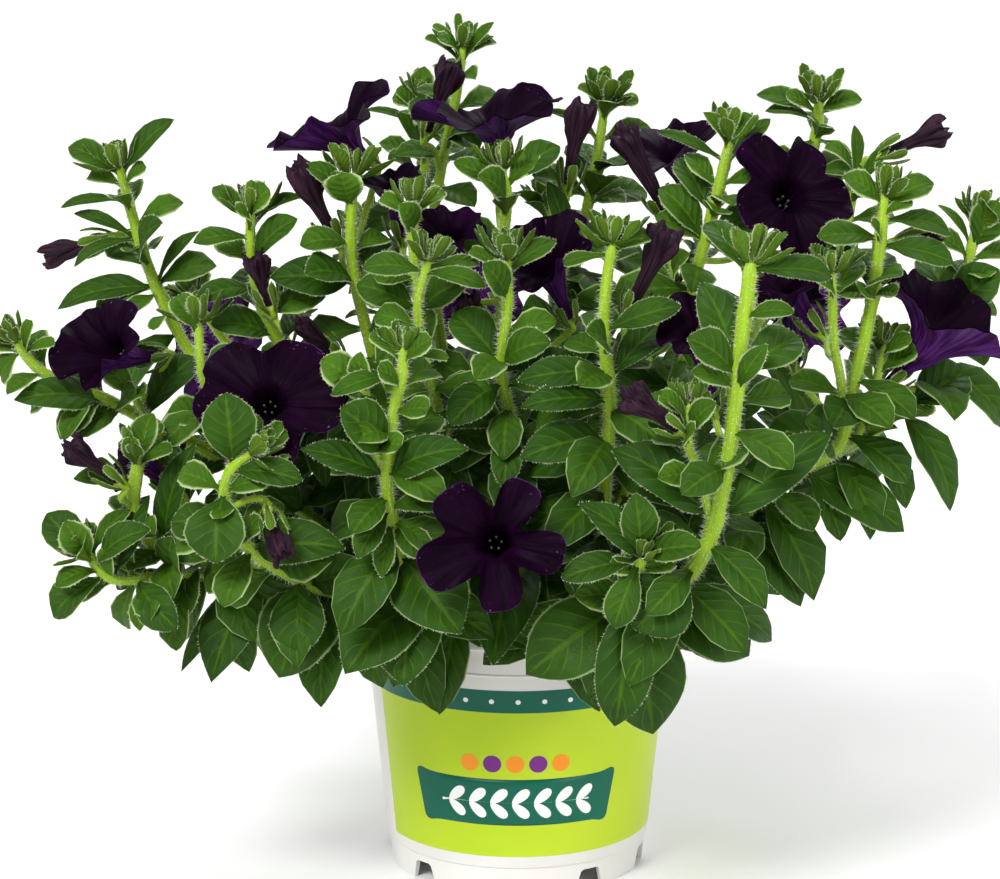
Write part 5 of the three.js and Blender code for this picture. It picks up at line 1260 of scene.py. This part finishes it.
# The banner, in millimetres, and what is on it: a stalk with pairs of leaves. Dots stand above it.
BANNER_PLACES = [-1, 129]
BANNER_HEIGHT = 36.5
BANNER_WIDTH, BANNER_TOP_WIDTH, BANNER_DEPTH, BANNER_CORNER = 73, 79, 20, 2.5
DOT_RADIUS, DOT_STEP, DOT_RISE = 3.3, 8.2, 15
SPRIG_PAIRS, SPRIG_STEP, SPRIG_START = 7, 8, -25
SPRIG_LEAF = {"length": 8, "width": 3.8}
BAND_DOT_RADIUS, BAND_DOT_STEP = 0.9, 9


def on_wall(s, z, lift):
    """A point on the wall at s millimetres round from the front, at mid height of the print."""
    angle = s / wall_at(MID_HEIGHT)
    r = wall_at(z) + lift
    return r * math.sin(angle), -r * math.cos(angle), z


def band(sink, low, high, kind):
    """A plain strip round the wall, from one height to another."""
    angles = np.radians(np.linspace(FIELD_FROM, FIELD_TO, 180))
    rows = np.linspace(low, high, 6)
    points = [[((wall_at(z) + PRINT_LIFT) * math.sin(a), -(wall_at(z) + PRINT_LIFT) * math.cos(a), z)
               for a in angles] for z in rows]
    maps = [[math.degrees(a) / 360, z / 100] for z in rows for a in angles]
    sink.add(np.reshape(points, (-1, 3)), grid_faces(len(rows), len(angles)), kind, maps)


def shape(sink, outline, kind, lift):
    """A filled outline, with inner points so that it follows the wall."""
    outline = np.asarray(outline, float)
    low, high = outline.min(0), outline.max(0)
    inner = [(s, z) for s in np.arange(low[0] + 1, high[0], 2.0)
             for z in np.arange(low[1] + 1, high[1], 3.0)]
    n = len(outline)
    points = [Vector(p) for p in outline] + [Vector(p) for p in inner]
    edges = [(i, (i + 1) % n) for i in range(n)]
    flat, _, faces, *_ = geometry.delaunay_2d_cdt(points, edges, [], 1, 1e-4)
    placed = [on_wall(p[0], p[1], lift) for p in flat]
    sink.add(placed, np.array(faces), kind, [[p[0] / 100, p[1] / 100] for p in flat])


def rounded_banner(centre):
    """The outline of a banner that is wider at its top, its corners rounded."""
    half, top, rise = BANNER_WIDTH / 2, BANNER_TOP_WIDTH / 2, BANNER_DEPTH / 2
    corners = [vec(-half, -rise), vec(half, -rise), vec(top, rise), vec(-top, rise)]
    points = []
    for k, q in enumerate(corners):
        a = unit(corners[k - 1] - q) * BANNER_CORNER
        b = unit(corners[(k + 1) % 4] - q) * BANNER_CORNER
        points += [(q + a) * (1 - t) ** 2 + 2 * q * t * (1 - t) + (q + b) * t * t + centre
                   for t in np.linspace(0, 1, 7)]
    return points


def drop(centre, degrees, length, width):
    """A leaf-shaped outline that starts at its foot and points to an angle from upright."""
    c, s = math.cos(math.radians(degrees)), math.sin(math.radians(degrees))
    points = []
    for t in circle(22):
        along = length * (0.5 - 0.5 * math.cos(t))
        half = width / 2 * math.sin(t) * (1 - 0.25 * math.cos(t))
        points.append((centre[0] + along * s + half * c, centre[1] + along * c - half * s))
    return points


def disc(centre, radius):
    return [(centre[0] + radius * math.cos(a), centre[1] + radius * math.sin(a))
            for a in circle(20)]


def make_print(materials):
    """A lime field under a dark green band, and on the field a plain banner with a leaf sprig."""
    sink = Sink()
    lime, teal, white, warm, berry = range(5)
    band(sink, FIELD_LOW, FIELD_HIGH, lime)
    band(sink, FIELD_HIGH, BAND_TOP, teal)
    for k in range(-4, 20):
        dot = disc((k * BAND_DOT_STEP, (FIELD_HIGH + BAND_TOP) / 2), BAND_DOT_RADIUS)
        shape(sink, dot, white, PRINT_LIFT * 2)
    for s in BANNER_PLACES:
        z = BANNER_HEIGHT
        shape(sink, rounded_banner(vec(s, z)), teal, PRINT_LIFT * 2)
        for k, kind in enumerate((warm, berry, warm, berry, warm)):
            dot = disc((s + (k - 2) * DOT_STEP, z + DOT_RISE), DOT_RADIUS)
            shape(sink, dot, kind, PRINT_LIFT * 2)
        stalk = [(s - 28, z - 1.1), (s + 28, z - 0.5), (s + 28, z + 0.1), (s - 28, z - 0.1)]
        shape(sink, stalk, white, PRINT_LIFT * 3)
        for k in range(SPRIG_PAIRS):
            foot = (s + SPRIG_START + SPRIG_STEP * k, z - 0.4)
            for degrees in (48, 132):
                shape(sink, drop(foot, degrees, **SPRIG_LEAF), white, PRINT_LIFT * 3)
    return sink.make("pot_print", materials)


# Soil

CRUMBS = 2600
CRUMB_FIELD = 53.5
CRUMB_CORNERS = np.array([[1, 0, 0], [-1, 0, 0], [0, 1, 0], [0, -1, 0], [0, 0, 1], [0, 0, -1]], float)
CRUMB_FACES = np.array([[0, 2, 4], [2, 1, 4], [1, 3, 4], [3, 0, 4],
                        [2, 0, 5], [1, 2, 5], [3, 1, 5], [0, 3, 5]])


def make_crumbs(material):
    """Crumbs of peat over the soil, with a few pale grains."""
    sink = Sink()
    rng = np.random.default_rng(41)
    for _ in range(CRUMBS):
        r = CRUMB_FIELD * math.sqrt(rng.random())
        a = TURN * rng.random()
        z = np.interp(r, [0, SOIL_FLAT, 54.5], [SOIL_TOP, SOIL_TOP, SOIL_EDGE])
        size = rng.uniform(0.5, 1.9) * np.array([rng.uniform(0.7, 1.5), 1, rng.uniform(0.5, 0.9)])
        lumps = CRUMB_CORNERS * size * rng.uniform(0.75, 1.2, (6, 1))
        turn = rng.random() * 6.28
        c, s = math.cos(turn), math.sin(turn)
        spun = lumps @ np.array([[c, s, 0], [-s, c, 0], [0, 0, 1]])
        place = np.array([r * math.cos(a), r * math.sin(a), z + 0.25 * size[2]])
        tone = 1.0 if rng.random() < 0.03 else 0.6 * rng.random()
        sink.add(spun + place, CRUMB_FACES, 0, None, tone)
    return sink.make("soil_crumbs", [material])


# Materials

def rgb(r, g, b):
    """A colour from its 0-255 values on screen."""
    def linear(c):
        c /= 255
        return c / 12.92 if c <= 0.04045 else ((c + 0.055) / 1.055) ** 2.4
    return (linear(r), linear(g), linear(b), 1)


class Look:
    """A material made of nodes, around one Principled shader."""

    def __init__(self, name, roughness, **sockets):
        self.material = bpy.data.materials.new(name)
        self.material.use_nodes = True
        self.tree = self.material.node_tree
        self.shader = self.tree.nodes["Principled BSDF"]
        self.shader.inputs["Roughness"].default_value = roughness
        for socket, value in sockets.items():
            self.shader.inputs[socket.replace("_", " ")].default_value = value

    def add(self, kind, inputs=None, **settings):
        node = self.tree.nodes.new(kind)
        for key, value in settings.items():
            setattr(node, key, value)
        for key, value in (inputs or {}).items():
            self.give(node.inputs[key], value)
        return node

    def give(self, socket, value):
        if isinstance(value, bpy.types.NodeSocket):
            self.tree.links.new(value, socket)
        else:
            socket.default_value = value

    def math(self, operation, a, b=0.0, c=0.0):
        return self.add("ShaderNodeMath", {0: a, 1: b, 2: c}, operation=operation).outputs[0]

    def times(self, a, b):
        return self.math("MULTIPLY", a, b)

    def less(self, a, b):
        return self.math("SUBTRACT", a, b)

    def mix(self, share, a, b):
        return self.add("ShaderNodeMix", {0: share, 6: a, 7: b}, data_type="RGBA").outputs[2]

    def step(self, value, low, high):
        """0 below low and 1 above high, smooth between."""
        return self.add("ShaderNodeMapRange", {0: value, 1: low, 2: high},
                        interpolation_type="SMOOTHSTEP").outputs[0]

    def place(self):
        return self.add("ShaderNodeTexCoord").outputs["Object"]

    def map(self):
        node = self.add("ShaderNodeUVMap", uv_map="map")
        split = self.add("ShaderNodeSeparateXYZ", {0: node.outputs[0]})
        return split.outputs[0], split.outputs[1]

    def stretched(self, x, y):
        """A place on the map with its two directions scaled."""
        node = self.add("ShaderNodeUVMap", uv_map="map")
        return self.add("ShaderNodeVectorMath", {0: node.outputs[0], 1: (x, y, 1)},
                        operation="MULTIPLY").outputs[0]

    def tone(self):
        return self.add("ShaderNodeAttribute", attribute_name="tone").outputs["Fac"]

    def noise(self, scale, detail=3, vector=None):
        return self.add("ShaderNodeTexNoise", {"Scale": scale, "Detail": detail,
                                               "Vector": vector or self.place()}).outputs["Fac"]

    def colour(self, value):
        self.give(self.shader.inputs["Base Color"], value)

    def bump(self, height, distance, strength=1.0):
        node = self.add("ShaderNodeBump", {"Height": height, "Distance": distance,
                                           "Strength": strength})
        self.tree.links.new(node.outputs[0], self.shader.inputs["Normal"])


LEAF_VEINS = 6.5        # side veins along a leaf
VEIN_SLANT = 1.9


def leaf_look(name, old, young, vein, sunk):
    """A blade with a pale midrib and slanting side veins, mottled, and paler at its hairy edge."""
    look = Look(name, 0.5, Specular_IOR_Level=0.16)
    u, v = look.map()
    side = look.math("ABSOLUTE", v)
    bend = look.times(look.math("POWER", side, 0.85), VEIN_SLANT)
    wave = look.less(look.times(u, LEAF_VEINS), bend)
    near = look.math("ABSOLUTE", look.less(look.math("FRACT", wave), 0.5))
    thin = look.less(1.0, look.step(near, 0.02, 0.11))
    thin = look.times(thin, look.less(1.0, look.step(side, 0.45, 0.95)))
    rib = look.less(1.0, look.step(side, 0.03, 0.12))
    veins = look.math("MAXIMUM", look.times(thin, 0.7), rib)
    cells = look.add("ShaderNodeTexVoronoi", {"Scale": 1.0, "Vector": look.stretched(34, 13)},
                     feature="DISTANCE_TO_EDGE").outputs["Distance"]
    base = look.mix(look.tone(), old, young)
    darker = look.mix(0.35, base, (0.006, 0.02, 0.002, 1))
    base = look.mix(look.step(look.noise(90, 4), 0.35, 0.7), darker, base)
    base = look.mix(look.times(veins, 0.18), base, vein)
    inside = look.math("MULTIPLY_ADD", look.tone(), -0.36, 0.97)
    edge = look.times(look.step(side, inside, 1.0),
                      look.math("MULTIPLY_ADD", look.tone(), 0.8, 0.4))
    look.colour(look.mix(edge, base, rgb(184, 206, 140)))
    quilt = look.times(look.step(near, 0.0, 0.5), 0.8)
    relief = look.less(quilt, look.times(veins, 0.6))
    fine = look.times(look.step(cells, 0.0, 0.25), 0.25)
    look.bump(look.math("ADD", relief, fine), 0.0005 if sunk else -0.0005, 0.6)
    return look.material


def stem_look():
    """Pale green with faint streaks along it, paler towards the tip."""
    look = Look("stem_green", 0.45, Specular_IOR_Level=0.25)
    base = look.mix(look.tone(), rgb(110, 148, 20), rgb(168, 206, 36))
    streak = look.noise(1.0, 3, look.stretched(26, 9))
    dark = look.mix(0.3, base, rgb(70, 96, 34))
    look.colour(look.mix(look.step(streak, 0.35, 0.7), dark, base))
    look.bump(streak, 0.0003, 0.5)
    return look.material


def hair_look():
    look = Look("plant_hairs", 0.4, Specular_IOR_Level=0.5)
    base = look.mix(look.tone(), rgb(190, 208, 150), rgb(228, 236, 205))
    look.colour(look.mix(look.step(look.noise(200), 0.3, 0.7), base, rgb(240, 244, 228)))
    return look.material


def petal_look(name, deep, light, streak_share, sheen):
    """Velvet petals: vein streaks, broad patches of painted violet highlight, and a thin violet sheen.
    """
    look = Look(name, 0.5, Sheen_Weight=sheen, Sheen_Roughness=0.35, Specular_IOR_Level=0.03)
    look.shader.inputs["Sheen Tint"].default_value = rgb(70, 20, 110)
    v = look.map()[1]
    # Streaks along the veins towards the lighter colour are the petals' own veining
    streak = look.noise(1.0, 5, look.stretched(58, 1.6))
    base = look.mix(look.times(look.step(streak, 0.38, 0.68), streak_share), deep, light)
    # Broad patches towards the lighter colour: painted violet highlight, standing in for light on the
    # ruffles
    wide = look.noise(55, 3)
    base = look.mix(look.times(look.step(wide, 0.5, 0.8), 0.35), base, light)
    speck = look.step(look.noise(900, 2), 0.66, 0.74)
    rim = look.times(look.step(v, 0.8, 1.0), look.times(speck, 0.35))
    look.colour(look.mix(rim, base, rgb(170, 120, 175)))
    look.bump(look.math("ADD", streak, look.times(wide, 1.5)), 0.0006, 0.7)
    return look.material


def faded_look():
    """Shrivelled petals: dark, with pale dry streaks along their folds."""
    look = Look("petals_faded", 0.62, Specular_IOR_Level=0.15)
    streak = look.noise(1.0, 4, look.stretched(30, 2.2))
    base = look.mix(look.step(streak, 0.35, 0.7), rgb(22, 10, 22), rgb(58, 28, 48))
    pale = look.step(look.noise(1.0, 2, look.stretched(44, 1.2)), 0.63, 0.72)
    look.colour(look.mix(look.times(pale, 0.35), base, rgb(120, 92, 96)))
    look.bump(streak, 0.0008, 0.8)
    return look.material


def anther_look():
    look = Look("anthers", 0.6)
    look.colour(look.mix(look.noise(900), rgb(62, 58, 62), rgb(92, 90, 84)))
    return look.material


def plastic_look(name, colour, shade, roughness=0.3):
    """Smooth plastic or print, slightly clouded, with a fine grain."""
    look = Look(name, roughness, Specular_IOR_Level=0.25)
    cloudy = look.noise(18, 3)
    look.colour(look.mix(look.times(look.step(cloudy, 0.3, 0.75), 0.6), colour, shade))
    look.bump(look.math("ADD", look.noise(1600, 2), look.times(cloudy, 3)), 0.00004, 0.5)
    return look.material


def soil_look(name):
    """Dark peat. A tone near 1 makes a pale grain."""
    look = Look(name, 0.95)
    rough = look.noise(260, 6)
    base = look.mix(look.step(rough, 0.35, 0.7), rgb(26, 17, 11), rgb(78, 55, 38))
    look.colour(look.mix(look.step(look.tone(), 0.9, 1.0), base, rgb(205, 200, 188)))
    look.bump(rough, 0.0012, 0.9)
    return look.material


# Putting the plant together

shoot_looks = [
    leaf_look("leaf_upper", rgb(38, 75, 4), rgb(84, 128, 19), rgb(120, 164, 33), True),
    leaf_look("leaf_under", rgb(76, 114, 18), rgb(100, 134, 36), rgb(146, 178, 47), False),
    stem_look(), hair_look(),
]
# Each petal look: deep colour, lighter colour (vein streaks, and painted violet highlight in broad
# patches), share of streaks, sheen
flower_looks = [
    petal_look("petals_outside", rgb(42, 12, 54), rgb(104, 48, 130), 0.55, 0.05),
    petal_look("petals_inside", rgb(15, 2, 16), rgb(50, 8, 56), 0.18, 0.02),
    anther_look(),
]
faded_looks = [faded_look()]

flowers = [Flower(name, *row) for name, row in FLOWERS.items()]
stems = []
for node, parts in SHOOTS.items():
    for key, part in parts.items():
        stems.append(Stem(node, key, len(stems) + 1, *part))


def on_photo(points):
    """Where points fall in the photograph, in its pixels, and how far off they are."""
    away = np.asarray(points) - np.array(CAMERA_PLACE)
    tilt = math.radians(CAMERA_PITCH)
    depth = away[:, 1] * math.cos(tilt) - away[:, 2] * math.sin(tilt)
    rise = away[:, 1] * math.sin(tilt) + away[:, 2] * math.cos(tilt)
    pixels = PHOTO_WIDTH * CAMERA_LENS / SENSOR_WIDTH
    return np.stack([pixels * away[:, 0] / depth, -pixels * rise / depth], -1), depth


def flower_points():
    """Points all over the flowers, which small leaves keep clear of, also in front of them."""
    points = []
    angles = circle(24)
    for flower in flowers:
        points += [flower.point(t)[None] for t in np.linspace(0, 1, 7)]
        points += [ring(flower.mouth, flower.facing, angles, flower.radius * share)
                   for share in (0.3, 0.6, 0.85, 1)]
    return np.concatenate(points)


def tree_of(points):
    """A tree to look up the nearest of points in space or on the picture."""
    tree = kdtree.KDTree(len(points))
    for i, p in enumerate(points):
        tree.insert(Vector((*p, 0)[:3]), i)
    tree.balance()
    return tree


bloom_points = flower_points()
bloom_tree = tree_of(bloom_points)
bloom_places, bloom_depths = on_photo(bloom_points)
bloom_view = tree_of(bloom_places)
VIEW_CLEARANCE = 7      # in pixels of the photograph
DEPTH_CLEARANCE = 2


def hides_flower(points):
    """Whether any of the points lies in front of a flower as the photograph shows it."""
    places, depths = on_photo(points)
    return any(bloom_depths[i] > depth + DEPTH_CLEARANCE
               for place, depth in zip(places, depths)
               for _, i, _ in bloom_view.find_range(Vector((*place, 0)), VIEW_CLEARANCE))


LEAF_ROWS, GROWN_LEAF_ROWS = 11, 17
TONE_KEY = 800


def make_shoot(node):
    """One shoot: its stems with their leaves, tufts and flower stalks, in place of its solid."""
    sink = Sink()
    corners = Corners(node)
    for stem in (s for s in stems if s.node == node):
        add_stem(sink, stem)
        for key, leaf in enumerate(hand_leaves(stem) + pair_leaves(stem)):
            leaf = found_leaf(corners, leaf)
            if leaf is None:
                continue
            leaf.tone = (min(max(1.15 - leaf.length / 26, 0.05), 0.9)
                         + between(-0.08, 0.08, stem.seed, TONE_KEY + key))
            rows = LEAF_ROWS if leaf.size < GROWN_LEAF else GROWN_LEAF_ROWS
            fine_leaf(sink, shifted(stem, leaf), stem.seed, key, rows=rows)
        tuft = found_tuft(corners, stem) if stem.head else None
        if tuft:
            add_tuft(sink, stem, tuft)
        add_filler(sink, stem)
        for flower in flowers:
            if flower.stem == stem.key:
                add_stalk(sink, flower, stem)
    piece = sink.make(node + "_grown", shoot_looks)
    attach(piece, "root")
    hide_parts(node)


for node in SHOOTS:
    make_shoot(node)

for flower in flowers:
    sink = Sink()
    if flower.open:
        open_flower(sink, flower)
        piece = sink.make(flower.name + "_grown", flower_looks)
    else:
        faded_flower(sink, flower)
        piece = sink.make(flower.name + "_grown", faded_looks)
    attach(piece, "root")
    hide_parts(flower.name)

pot = make_pot(plastic_look("pot_white", rgb(228, 226, 222), rgb(216, 213, 208), 0.34))
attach(pot, "root")
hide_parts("pot")
pot_print = make_print([
    plastic_look("print_lime", rgb(176, 205, 30), rgb(196, 214, 52)),
    plastic_look("print_teal", rgb(0, 92, 72), rgb(6, 104, 82)),
    plastic_look("print_white", rgb(240, 242, 238), rgb(230, 232, 226)),
    plastic_look("print_orange", rgb(240, 150, 36), rgb(236, 130, 34)),
    plastic_look("print_berry", rgb(112, 40, 128), rgb(128, 44, 132)),
])
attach(pot_print, "root")

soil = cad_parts["soil"]
peat = soil_look("soil_peat")
for place in soil.material_slots:
    place.material = peat
crumbs = make_crumbs(peat)
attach(crumbs, "root")


# Floor, lights and camera

FLOOR_SIZE = 12


def make_floor():
    bm = bmesh.new()
    bmesh.ops.create_grid(bm, x_segments=4, y_segments=4, size=FLOOR_SIZE)
    floor = added_piece("floor", bm)
    look = Look("floor_pale", 0.7)
    look.colour(look.mix(look.noise(3), rgb(247, 247, 247), rgb(243, 243, 243)))
    floor.data.materials.append(look.material)


def add_light(name, place, target, size, power, kind="AREA"):
    """An area lamp of a size in metres, or a sun of a size as an angle in radians."""
    lamp = bpy.data.lights.new(name, kind)
    lamp.energy = power
    if kind == "SUN":
        lamp.angle = size
    else:
        lamp.shape, lamp.size = "DISK", size
    light = bpy.data.objects.new(name, lamp)
    light.location = place
    light.rotation_euler = (Vector(target) - Vector(place)).to_track_quat("-Z", "Y").to_euler()
    bpy.context.scene.collection.objects.link(light)


make_floor()
world = bpy.data.worlds.new("studio")
world.use_nodes = True
world.node_tree.nodes["Background"].inputs["Color"].default_value = (1, 1, 1, 1)
world.node_tree.nodes["Background"].inputs["Strength"].default_value = 0.55
bpy.context.scene.world = world
PLANT_MIDDLE = (0, -0.03, 0.17)
add_light("key", (-0.9, -1.5, 1.9), PLANT_MIDDLE, 0.4, 2.6, "SUN")
add_light("fill", (1.3, -1.3, 0.8), PLANT_MIDDLE, 1.0, 10)
add_light("back", (0.5, 1.2, 1.5), PLANT_MIDDLE, 0.7, 14)

camera_data = bpy.data.cameras.new("camera")
camera_data.lens, camera_data.sensor_width = CAMERA_LENS, SENSOR_WIDTH
camera = bpy.data.objects.new("camera", camera_data)
camera.location = [c * MM for c in CAMERA_PLACE]
camera.rotation_euler = (math.radians(90 - CAMERA_PITCH), 0, 0)
bpy.context.scene.collection.objects.link(camera)
bpy.context.scene.camera = camera
bpy.context.scene.view_settings.view_transform = "Standard"
